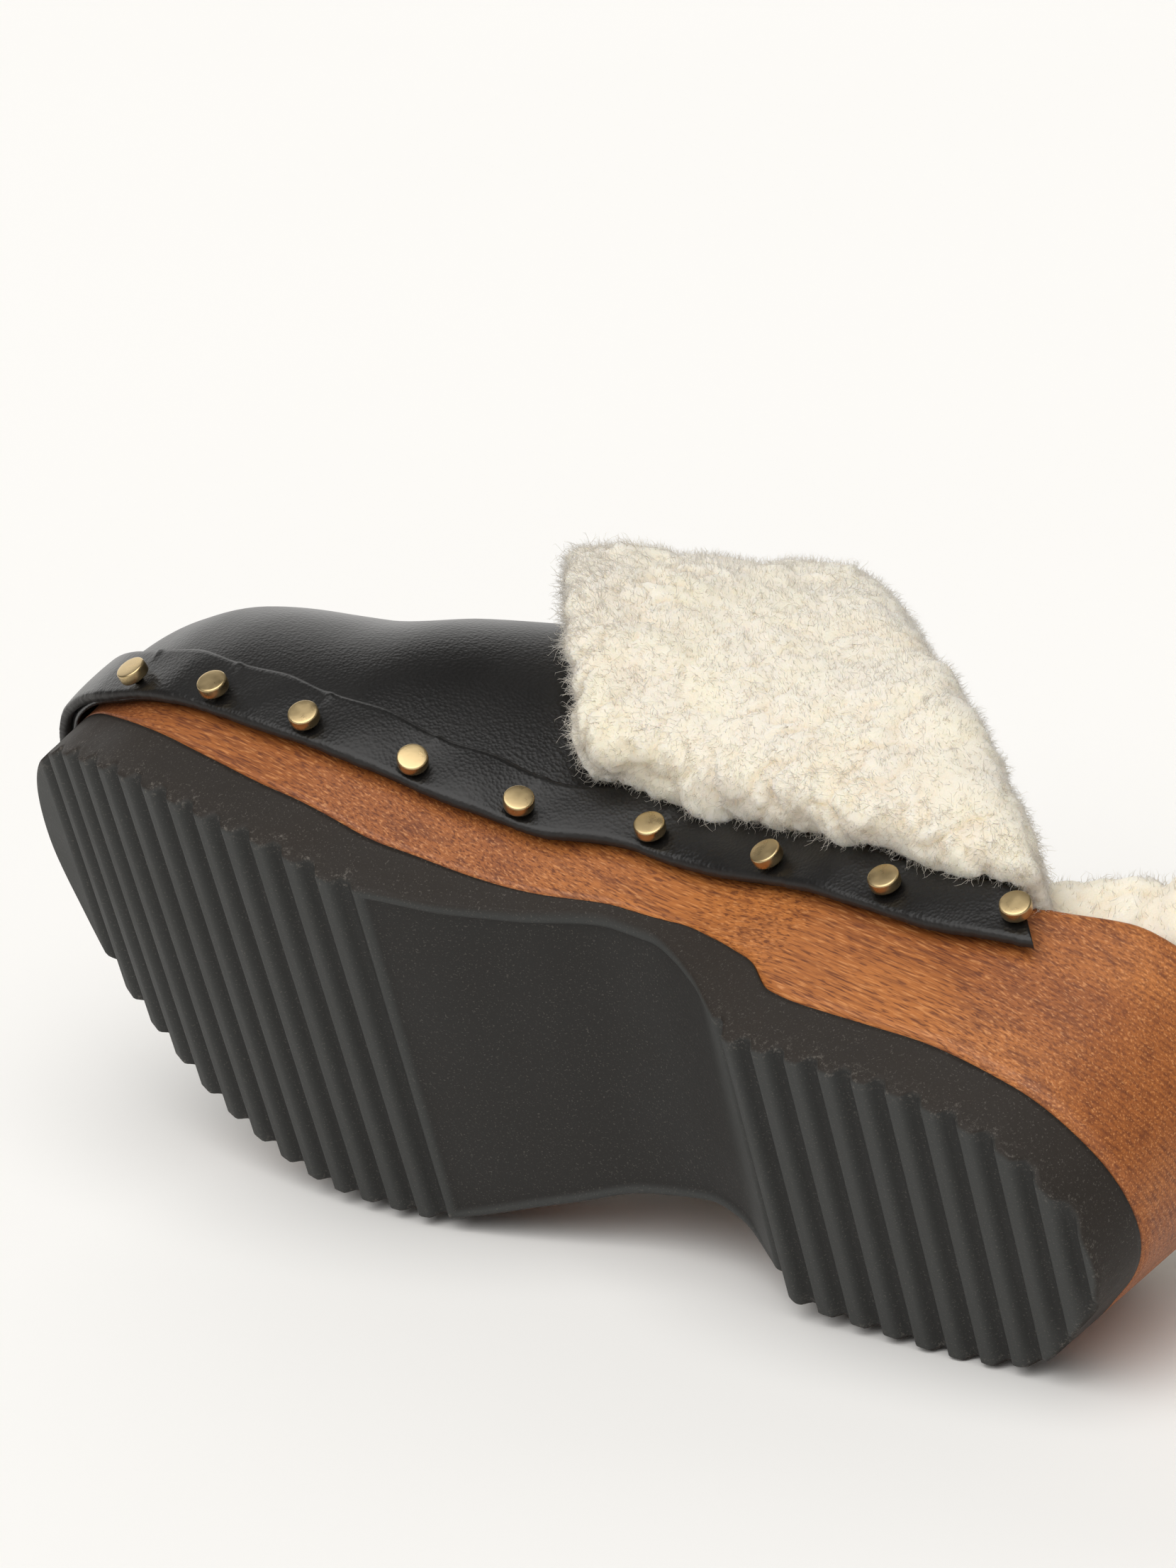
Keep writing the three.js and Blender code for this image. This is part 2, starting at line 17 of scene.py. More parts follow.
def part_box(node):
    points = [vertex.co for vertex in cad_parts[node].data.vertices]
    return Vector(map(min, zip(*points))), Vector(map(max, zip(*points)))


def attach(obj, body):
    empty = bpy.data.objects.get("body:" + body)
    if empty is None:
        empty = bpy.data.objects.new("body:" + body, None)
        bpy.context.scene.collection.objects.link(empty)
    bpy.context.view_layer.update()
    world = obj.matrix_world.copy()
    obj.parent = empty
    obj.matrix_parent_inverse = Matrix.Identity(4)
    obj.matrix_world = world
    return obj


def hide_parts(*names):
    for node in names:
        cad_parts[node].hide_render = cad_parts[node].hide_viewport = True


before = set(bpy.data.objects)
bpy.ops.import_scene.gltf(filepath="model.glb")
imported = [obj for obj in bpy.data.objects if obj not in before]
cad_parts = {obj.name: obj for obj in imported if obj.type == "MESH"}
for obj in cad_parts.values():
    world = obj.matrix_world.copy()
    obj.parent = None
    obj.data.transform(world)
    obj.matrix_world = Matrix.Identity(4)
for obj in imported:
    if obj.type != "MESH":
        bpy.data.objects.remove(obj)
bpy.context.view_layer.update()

MM = 0.001
BODY = "root"
random = np.random.default_rng(39)

# ------------------------------------------------------------------ driving dimensions, millimetres

gap = 0.3
tread_length = 254
ball_inner, ball_outer = 47, 44
waist_inner, waist_outer = 27.5, 27
heel_inner, heel_outer = 31, 32.5
toe_tip, heel_end = -7, -2

toe_spring, arch_rise, inner_arch_lift = 20, 13, 9.2
ball_rim, toe_rim, waist_rim, heel_rim = 30, 41, 43.5, 54.5
toe_box_height, instep_height, ridge_rise = 73.5, 116, 6

sole_thickness = 12
breast_station, breast_spread, breast_fill = 0.7, 0.03, 1.8
wall_flare, wall_flare_toe = 0.13, -0.04
flare_starts, flare_full = 0.01, 0.15

rib_pitch, groove_depth = 7.13, 2.1
groove_width = 5.2  # over its rounded shoulders
fore_ribs_end, heel_ribs_start = 0.386, 0.705
panel_front, panel_fade, panel_back = 101.5, 165, 176  # along the tread
panel_recess, panel_margin = 0.7, 1.4

footbed_hollow, rim_land, hollow_inset, rim_round = 3.5, 2, 14, 1.5
vamp_thickness = 1.8

rand_thickness = 2
rand_above, rand_above_tail = 8.6, 6.2
rand_below, rand_below_tail = 3.5, 5.2
rand_slant, skirt_below = 0.9, 2.3

nail_drop, nail_drop_tail = 5.3, 7
nail_head_radius, nail_head_height, nail_stand_off = 2.9, 2.3, 0.6
shank_radius, shank_length, shank_point = 0.9, 12.5, 2.5
nail_stations = [0.139, 0.213, 0.296, 0.376, 0.452, 0.552, 0.667, 0.765, 0.862]

crest_shift = -6
tail_station, tails_begin, tail_margin, tail_inset = 0.872, 0.6, 0.02, 1
toe_fan, throat_station = 0.13, 0.482

# ------------------------------------------------------------------ curves


def smooth(points):
    """A smooth function through the points that never overshoots them."""
    at, value = np.array(points, float).T
    slope = np.diff(value) / np.diff(at)
    product = slope[:-1] * slope[1:]
    total = np.where(product <= 0, 1, slope[:-1] + slope[1:])
    middle = np.where(product <= 0, 0, 2 * product / total)
    tangent = np.concatenate([slope[:1], middle, slope[-1:]])

    def curve(x):
        x = np.asarray(x, float)
        i = np.clip(np.searchsorted(at, x) - 1, 0, len(at) - 2)
        h = at[i + 1] - at[i]
        t = np.clip((x - at[i]) / h, 0, 1)
        return (
            value[i] * (1 + 2 * t) * (1 - t) ** 2
            + h * tangent[i] * t * (1 - t) ** 2
            + value[i + 1] * t * t * (3 - 2 * t)
            - h * tangent[i + 1] * t * t * (1 - t)
        )

    return curve


def smoothstep(x, low, high):
    t = np.clip((np.asarray(x, float) - low) / (high - low), 0, 1)
    return t * t * (3 - 2 * t)


def turn_of(station):
    return np.arccos(np.clip(1 - 2 * np.asarray(station, float), -1, 1)) / np.pi


def station_of(turn):
    return (1 - np.cos(np.pi * np.asarray(turn, float))) / 2


def outline(points):
    return smooth([(float(turn_of(station)), y) for station, y in points])


inner_side = outline([
    (0, toe_tip), (0.016, -0.5 * ball_inner), (0.051, -0.73 * ball_inner),
    (0.106, -0.9 * ball_inner), (0.2, -ball_inner), (0.3, -0.97 * ball_inner),
    (0.4, -0.82 * ball_inner), (0.5, -1.09 * waist_inner), (0.59, -waist_inner),
    (0.725, -heel_inner), (0.84, -heel_inner), (0.92, -0.87 * heel_inner),
    (0.975, -0.56 * heel_inner), (1, heel_end),
])
outer_side = outline([
    (0, toe_tip), (0.016, 0.14 * ball_outer), (0.051, 0.47 * ball_outer),
    (0.106, 0.67 * ball_outer), (0.184, 0.88 * ball_outer), (0.28, ball_outer),
    (0.36, 0.98 * ball_outer), (0.47, 1.34 * waist_outer), (0.55, 1.15 * waist_outer),
    (0.645, waist_outer), (0.74, heel_outer), (0.84, heel_outer), (0.92, 0.87 * heel_outer),
    (0.975, 0.42 * heel_outer), (1, heel_end),
])
tread_height = smooth([
    (0, toe_spring), (0.078, 0.61 * toe_spring), (0.16, 0.28 * toe_spring),
    (0.24, 0.09 * toe_spring), (0.31, 0), (0.37, 0), (0.42, 0.17 * arch_rise),
    (0.5, 0.62 * arch_rise), (0.56, 0.97 * arch_rise), (0.61, arch_rise),
    (0.65, 0.82 * arch_rise), (0.69, 0.42 * arch_rise), (0.725, 0), (1, 0),
])
inner_lift_share = smooth([
    (fore_ribs_end, 0), (0.443, 0.36), (0.485, 0.7), (0.555, 1), (0.59, 0.95), (0.622, 0.62),
    (0.684, 0.1), (heel_ribs_start, 0),
])
rim_height = smooth([
    (0, toe_rim), (0.06, 0.84 * toe_rim), (0.124, 0.75 * toe_rim), (0.29, ball_rim),
    (0.382, 1.07 * ball_rim), (0.459, 1.21 * ball_rim), (0.552, waist_rim), (0.7, waist_rim),
    (0.8, 0.81 * heel_rim), (0.87, 0.87 * heel_rim), (0.93, 0.97 * heel_rim), (1, heel_rim),
])
ridge_height = smooth([
    (toe_fan, toe_box_height), (0.25, 0.86 * toe_box_height + 0.14 * instep_height),
    (0.31, 0.62 * toe_box_height + 0.38 * instep_height),
    (0.4, 0.28 * toe_box_height + 0.72 * instep_height),
    (throat_station, instep_height), (tail_station, instep_height + ridge_rise),
])


def rubber_top(station):
    breast = np.exp(-(((station - breast_station) / breast_spread) ** 2))
    return tread_height(station) + sole_thickness + breast_fill * breast


def towards_tail(fore, tail, station):
    return fore + (tail - fore) * smoothstep(station, tails_begin, tail_station)


def nail_line(station):
    return rim_height(station) - towards_tail(nail_drop, nail_drop_tail, station)


# ------------------------------------------------------------------ points on the clog


def stacked(x, y, z):
    return np.stack(np.broadcast_arrays(x, y, z), -1)


def turn_at(lap):
    wrapped = np.mod(np.asarray(lap, float) + 2, 2)
    return np.where(wrapped <= 1, wrapped, 2 - wrapped)


def station_at(lap):
    return station_of(turn_at(lap))


def plan_point(lap):
    turn = turn_at(lap)
    inner = np.mod(np.asarray(lap, float) + 2, 2) <= 1
    return tread_length * station_of(turn), np.where(inner, inner_side(turn), outer_side(turn))


def plan_normal(lap):
    step = 1e-3
    x1, y1 = plan_point(lap + step)
    x0, y0 = plan_point(lap - step)
    length = np.hypot(x1 - x0, y1 - y0)
    return (y1 - y0) / length, -(x1 - x0) / length


def flare_at(station):
    share = smoothstep(station, flare_starts, flare_full)
    return wall_flare_toe + (wall_flare - wall_flare_toe) * share


def wall_point(lap, height, offset=0.0):
    station = station_at(lap)
    x, y = plan_point(lap)
    nx, ny = plan_normal(lap)
    reach = flare_at(station) * (height - tread_height(station)) + offset
    return stacked(x + nx * reach, y + ny * reach, height)


def upper_point(lap, share, inset):
    """The upper's outer face, inset inwards: share 0 is at the rim and 1 on the ridge."""
    softness, side_hold, crown_hold = 12, 0.76, 0.5
    station = station_at(lap)
    foot = wall_point(lap, rim_height(station), gap + vamp_thickness - inset)
    front = toe_fan * tread_length + inset
    along = front + softness * np.log1p(np.exp((tread_length * station - front) / softness))
    top = ridge_height(along / tread_length) - inset
    ridge = stacked(along, crest_shift, top)
    nx, ny = plan_normal(lap)
    rise = ridge[..., 2] - foot[..., 2]
    lean = flare_at(station)
    low = foot + stacked(nx * lean, ny * lean, 1.0) * (side_hold * rise)[..., None]
    over = stacked(foot[..., 0], foot[..., 1], ridge[..., 2])
    high = ridge + (over - ridge) * crown_hold
    t = np.asarray(share, float)[..., None]
    s = 1 - t
    return s**3 * foot + 3 * s**2 * t * low + 3 * s * t * t * high + t**3 * ridge


def vamp_face(lap, height, offset):
    """The vamp's outer face at a height near the rim, below or above it."""
    lap, height, offset = (np.array(a, float) for a in np.broadcast_arrays(lap, height, offset))
    highest_share, halvings = 0.5, 24
    low, high = np.zeros_like(lap), np.full_like(lap, highest_share)
    for _ in range(halvings):
        middle = (low + high) / 2
        below = upper_point(lap, middle, -offset)[..., 2] < height
        low, high = np.where(below, middle, low), np.where(below, high, middle)
    wall = wall_point(lap, height, gap + vamp_thickness + offset)
    above = upper_point(lap, low, -offset)
    return np.where((height <= rim_height(station_at(lap)))[..., None], wall, above)


def frame_shift():
    """From these millimetres to the frame: the outsole's box has to be where the frame holds it."""
    cad_turns = 40
    laps = np.arange(2 * cad_turns) / cad_turns
    station = station_at(laps)
    rings = [wall_point(laps, tread_height(station)), wall_point(laps, rubber_top(station))]
    points = np.concatenate(rings)
    mine = (points.min(0) + points.max(0)) / 2
    low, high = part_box("outsole")
    theirs = (np.array(low) + np.array(high)) / 2 / MM
    return np.array([theirs[0] - mine[0], theirs[1] - mine[1], 0.0])


shift = frame_shift()

# ------------------------------------------------------------------ noise in space


def noise(points, size, seed):
    """Smooth values from -1 to 1 that change over about size millimetres.
    An integer hash gives each corner of a cell its own value."""
    q = points / size + 100
    cell = np.floor(q).astype(np.int64)
    f = q - cell
    f = f * f * (3 - 2 * f)
    total = np.zeros(len(points))
    for corner in np.ndindex(2, 2, 2):
        c = cell + np.array(corner)
        h = (c[:, 0] * 374761 + c[:, 1] * 668265 + c[:, 2] * 974711 + seed * 12741) & 0x7FFFFFFF
        h = ((h ^ (h >> 13)) * 1274126 + 91193) & 0x7FFFFFFF
        h = ((h ^ (h >> 11)) * 668265) & 0x7FFFFFFF
        weight = np.prod(np.where(np.array(corner), f, 1 - f), axis=1)
        total += weight * ((h >> 8 & 0xFFFF) / 32767.5 - 1)
    return total


def noise_vector(points, size, seed):
    return np.stack([noise(points, size, seed + k) for k in range(3)], -1)


# ------------------------------------------------------------------ meshes


def grid_faces(rows, columns, wrap_columns=False, start=0):
    r = np.arange(rows - 1)
    c = np.arange(columns if wrap_columns else columns - 1)
    r, c = np.meshgrid(r, c, indexing="ij")
    r2, c2 = r + 1, (c + 1) % columns
    quads = [r * columns + c, r * columns + c2, r2 * columns + c2, r2 * columns + c]
    return np.stack(quads, -1).reshape(-1, 4) + start


def put_attribute(mesh, key, values):
    made = mesh.attributes.new(key, "FLOAT", "POINT")
    made.data.foreach_set("value", values.astype(np.float32))


def link_mesh(name, mesh, looks):
    piece = bpy.data.objects.new(name, mesh)
    bpy.context.scene.collection.objects.link(piece)
    mesh.materials.clear()
    mesh.materials.append(looks)
    mesh.polygons.foreach_set("use_smooth", np.ones(len(mesh.polygons), bool))
    return piece


def make_mesh(name, points, faces, attributes=None, cuts=(), thickness=0.0):
    """A mesh from points in millimetres. Each cut drops what lies in front of a plane, given by
    a point and a normal. A sheet with a thickness becomes a solid, grown to its inner side."""
    merge_distance, shortest_edge = 2e-6, 1e-7  # metres
    mesh = bpy.data.meshes.new(name)
    rows = [list(map(int, face)) for face in faces]
    mesh.from_pydata(((points + shift) * MM).tolist(), [], rows)
    for key, values in (attributes or {}).items():
        put_attribute(mesh, key, values)
    work = bmesh.new()
    work.from_mesh(mesh)
    bmesh.ops.remove_doubles(work, verts=work.verts, dist=merge_distance)
    bmesh.ops.dissolve_degenerate(work, edges=work.edges, dist=shortest_edge)
    for point, normal in cuts:
        bmesh.ops.bisect_plane(
            work, geom=work.verts[:] + work.edges[:] + work.faces[:],
            plane_co=(np.array(point) + shift) * MM, plane_no=normal, clear_outer=True,
        )
        if not thickness:
            bmesh.ops.holes_fill(work, edges=[e for e in work.edges if e.is_boundary])
    bmesh.ops.recalc_face_normals(work, faces=work.faces)
    work.to_mesh(mesh)
    work.free()
    if thickness:
        mesh = thickened(mesh, thickness)
    return mesh


def applied(piece):
    """The piece's mesh with its modifiers applied."""
    bpy.context.view_layer.update()
    made = piece.evaluated_get(bpy.context.evaluated_depsgraph_get())
    return bpy.data.meshes.new_from_object(made)


def thickened(mesh, thickness):
    holder = bpy.data.objects.new("holder", mesh)
    bpy.context.scene.collection.objects.link(holder)
    solidify = holder.modifiers.new("thickness", "SOLIDIFY")
    solidify.thickness = thickness * MM
    solidify.offset = -1
    solidify.use_even_offset = True
    solidify.thickness_clamp = 1
    made = applied(holder)
    bpy.data.objects.remove(holder)
    return made


def points_of(mesh):
    flat = np.empty(len(mesh.vertices) * 3)
    mesh.vertices.foreach_get("co", flat)
    return flat.reshape(-1, 3) / MM


def normals_of(mesh):
    flat = np.empty(len(mesh.vertices) * 3, np.float32)
    mesh.vertex_normals.foreach_get("vector", flat)
    return flat.reshape(-1, 3).astype(float)


def put_points(mesh, points):
    mesh.vertices.foreach_set("co", (points * MM).astype(np.float32).ravel())
    mesh.update()


def finish_piece(piece, nodes):
    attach(piece, BODY)
    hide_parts(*nodes)
    return piece


# ------------------------------------------------------------------ materials


class Look:
    """A material with small helpers to build its nodes."""

    def __init__(self, name, **shader):
        self.material = bpy.data.materials.new(name)
        self.material.use_nodes = True
        self.tree = self.material.node_tree
        self.shader = self.tree.nodes["Principled BSDF"]
        for key, value in shader.items():
            self.shader.inputs[key.replace("_", " ")].default_value = value
        self.place = self.tree.nodes.new("ShaderNodeTexCoord").outputs["Object"]

    def node(self, kind, output, settings=None, **inputs):
        made = self.tree.nodes.new("ShaderNode" + kind)
        for key, value in (settings or {}).items():
            setattr(made, key, value)
        for key, value in inputs.items():
            self.give(made.inputs[key.replace("_", " ")], value)
        return made.outputs[output]

    def give(self, socket, value):
        if isinstance(value, bpy.types.NodeSocket):
            self.tree.links.new(value, socket)
        else:
            socket.default_value = value

    def set(self, key, value):
        self.give(self.shader.inputs[key], value)

    def stretched(self, scale, turn=(0, 0, 0)):
        """The object's own coordinates, turned first and then scaled along each axis."""
        sizes = tuple(1 / factor for factor in scale)
        return self.node(
            "Mapping", "Vector", {"vector_type": "TEXTURE"},
            Vector=self.place, Scale=sizes, Rotation=turn,
        )

    def noise(self, scale, detail=4.0, place=None, roughness=0.5, distortion=0.0):
        return self.node(
            "TexNoise", 0, Vector=place or self.place, Scale=scale, Detail=detail,
            Roughness=roughness, Distortion=distortion,
        )

    def cells(self, scale):
        return self.node("TexVoronoi", "Distance", Vector=self.place, Scale=scale)

    def spread(self, value, low, high, to_low=0.0, to_high=1.0):
        names = {"From_Min": low, "From_Max": high, "To_Min": to_low, "To_Max": to_high}
        return self.node("MapRange", "Result", Value=value, **names)

    def mix(self, share, first, second):
        return self.node("MixRGB", "Color", Fac=share, Color1=first, Color2=second)

    def math(self, operation, first, second):
        made = self.tree.nodes.new("ShaderNodeMath")
        made.operation = operation
        self.give(made.inputs[0], first)
        self.give(made.inputs[1], second)
        return made.outputs[0]

    def attribute(self, name):
        return self.node("Attribute", "Fac", {"attribute_name": name})

    def bump(self, height, distance, strength=1.0, normal=None):
        given = {"Height": height, "Distance": distance, "Strength": strength}
        if normal:
            given["Normal"] = normal
        return self.node("Bump", "Normal", **given)


def leather_look():
    look = Look("black_leather", Specular_IOR_Level=0.36)
    dark, light = (0.0045, 0.0042, 0.0041, 1), (0.0080, 0.0073, 0.0067, 1)
    raw_leather, raw_roughness = (0.026, 0.023, 0.021, 1), 0.35
    patches = look.noise(45, 3)
    pebbles = look.cells(1500)
    creases = look.noise(900, 5, roughness=0.6)
    raw = look.attribute("raw_edge")
    look.set("Base Color", look.mix(raw, look.mix(patches, dark, light), raw_leather))
    sheen_patches = look.spread(patches, 0.3, 0.7, 0.30, 0.37)
    rougher = look.math("MULTIPLY", raw, raw_roughness)
    look.set("Roughness", look.math("ADD", sheen_patches, rougher))
    grain = look.bump(pebbles, 0.00009, 0.6)
    look.set("Normal", look.bump(creases, 0.00005, 0.4, grain))
    return look.material


def rubber_look():
    look = Look("black_rubber", Specular_IOR_Level=0.25)
    flank, panel, fray, valley = (
        look.attribute(key) for key in ("flank", "panel", "fray", "valley")
    )
    groove_shade, groove_shade_share = (0.017, 0.016, 0.015, 1), 0.7
    dust_colour, dust_share = (0.17, 0.155, 0.135, 1), 0.30
    fray_colour, fray_share = (0.21, 0.19, 0.165, 1), 0.65
    cloud = look.noise(60, 4)
    tread = look.mix(cloud, (0.036, 0.037, 0.036, 1), (0.052, 0.053, 0.050, 1))
    sanded = look.mix(cloud, (0.017, 0.014, 0.0115, 1), (0.030, 0.0235, 0.019, 1))
    inlay = look.mix(cloud, (0.018, 0.017, 0.016, 1), (0.027, 0.025, 0.023, 1))
    # Painted shade: the grooves darken with their depth, given by the valley attribute.
    ribs = look.mix(look.math("MULTIPLY", valley, groove_shade_share), tread, groove_shade)
    colour = look.mix(flank, look.mix(panel, ribs, inlay), sanded)
    dust = look.spread(look.noise(2600, 2), 0.60, 0.72)
    fibres = look.spread(look.noise(900, 6, roughness=0.75), 0.55, 0.72)
    speckle = look.mix(look.math("MULTIPLY", dust, dust_share), colour, dust_colour)
    frayed = look.math("MULTIPLY", look.math("MULTIPLY", fibres, fray), fray_share)
    look.set("Base Color", look.mix(frayed, speckle, fray_colour))
    look.set("Roughness", look.spread(cloud, 0.3, 0.7, 0.58, 0.74))
    fine = look.bump(look.noise(1700, 4), 0.00007, 0.6)
    look.set("Normal", look.bump(look.cells(1100), 0.00006, 0.35, fine))
    return look.material


def wood_look():
    look = Look("stained_wood", Specular_IOR_Level=0.4)
    light, middle = (0.459, 0.158, 0.036, 1), (0.326, 0.101, 0.0225, 1)
    dark, pore = (0.125, 0.031, 0.009, 1), (0.095, 0.022, 0.007, 1)
    glint, toe_darker = (0.760, 0.350, 0.130, 1), (0.115, 0.034, 0.019, 1)
    turn = (0, math.radians(7), 0)
    sweep = look.noise(1.0, 2, look.stretched((11, 40, 40), turn), distortion=0.5)
    bands = look.noise(1.0, 3, look.stretched((14, 520, 520), turn), roughness=0.55)
    # The growth rings' axis runs along the sole, far below it, so they run level round the heel.
    centre = look.node(
        "Mapping", "Vector", Vector=look.place, Location=(0, -0.05, 0.22), Scale=(0.03, 1, 1),
    )
    rings = look.node(
        "TexWave", "Fac", {"wave_type": "RINGS", "rings_direction": "X"}, Vector=centre,
        Scale=260.0, Distortion=1.6, Detail=2.0, Detail_Scale=0.35, Detail_Roughness=0.6,
    )
    pores = look.noise(1.0, 1, look.stretched((300, 3000, 3000), turn))
    hairs = look.noise(1.0, 2, look.stretched((70, 2500, 2500), turn), roughness=0.6)
    tone = look.mix(look.spread(sweep, 0.38, 0.62), middle, light)
    banded = look.mix(look.spread(bands, 0.52, 0.72, 0.0, 0.55), tone, dark)

    # The end grain at the heel shows its rings, and the side grain shows its pores.
    heel_before, heel_from = 0.040, 0.014  # metres before the sole's end
    toe_fade = 0.06
    along = look.node("SeparateXYZ", "X", Vector=look.place)
    low, high = (corner.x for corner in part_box("wooden_sole"))
    heel = look.spread(along, high - heel_before, high - heel_from)
    ring_lines = look.math(
        "MULTIPLY", look.spread(rings, 0.05, 0.75, 1, 0), look.spread(heel, 0, 1, 0.3, 0.62)
    )
    uneven = look.math("MULTIPLY", ring_lines, look.spread(bands, 0.38, 0.62, 0.3, 1.0))
    ringed = look.mix(uneven, banded, dark)
    combed = look.mix(look.spread(hairs, 0.50, 0.64, 0.0, 0.50), ringed, dark)
    flecks = look.math(
        "MULTIPLY", look.spread(pores, 0.57, 0.66, 0.0, 0.70), look.spread(heel, 0, 1, 1, 0.35)
    )
    flecked = look.mix(flecks, combed, pore)
    bright = look.mix(look.spread(pores, 0.30, 0.42, 0.42, 0.0), flecked, glint)
    # The wood is darker and redder towards the toe.
    toe = look.spread(along, low, low + toe_fade, 0.75, 0.0)
    look.set("Base Color", look.mix(toe, bright, toe_darker))
    look.set("Roughness", look.spread(pores, 0.35, 0.7, 0.42, 0.60))
    look.set("Normal", look.bump(pores, 0.00012, 0.5))
    return look.material


def brass_look():
    look = Look("brass", Metallic=1.0)
    worn = look.noise(420, 4)
    look.set("Base Color", look.mix(worn, (0.46, 0.34, 0.175, 1), (0.60, 0.465, 0.255, 1)))
    look.set("Roughness", look.spread(worn, 0.3, 0.7, 0.24, 0.38))
    look.set("Normal", look.bump(look.noise(1500, 3), 0.00002, 0.5))
    return look.material


def wool_look():
    light, painted_shade, warm = (0.93, 0.855, 0.73, 1), (0.86, 0.765, 0.605, 1), (0.96, 0.87, 0.70, 1)
    look = Look(
        "shearling", Roughness=0.95, Specular_IOR_Level=0.1, Subsurface_Weight=0.7,
        Subsurface_Scale=0.005, Subsurface_Radius=(1.0, 0.85, 0.65), Sheen_Weight=0.2,
        Sheen_Roughness=0.6,
    )
    depth = look.attribute("depth")
    mottled = look.noise(75, 4)
    pale = look.mix(look.spread(mottled, 0.42, 0.72), light, warm)
    # Painted shade: the wool darkens where the depth attribute marks its creases and dips.
    look.set("Base Color", look.mix(depth, pale, painted_shade))
    strands = look.noise(1900, 6, roughness=0.75, distortion=1.0)
    curls = look.bump(look.noise(620, 5, roughness=0.7, distortion=1.2), 0.0004, 0.5)
    look.set("Normal", look.bump(strands, 0.0004, 0.6, curls))
    return look.material


def felt_look():
    look = Look("stiffener_felt", Roughness=0.9)
    fluff = look.noise(800, 6)
    look.set("Base Color", look.mix(fluff, (0.34, 0.27, 0.18, 1), (0.56, 0.47, 0.35, 1)))
    look.set("Normal", look.bump(fluff, 0.0002, 0.6))
    return look.material


leather = leather_look()
rubber = rubber_look()
wood = wood_look()
brass = brass_look()
wool = wool_look()
felt = felt_look()

# ------------------------------------------------------------------ outsole


def groove_at(x):
    """How deep the tread is cut at x: rounded valleys, one rib pitch apart."""
    flat_share = 0.2
    fore = np.arange(fore_ribs_end * tread_length, rib_pitch, -rib_pitch)
    heel = np.arange(heel_ribs_start * tread_length, tread_length, rib_pitch)
    away = np.min([np.abs(x - centre) for centre in (*fore, *heel)], axis=0)
    return groove_depth * smoothstep(1 - away / (groove_width / 2), 0, 1 - flat_share)


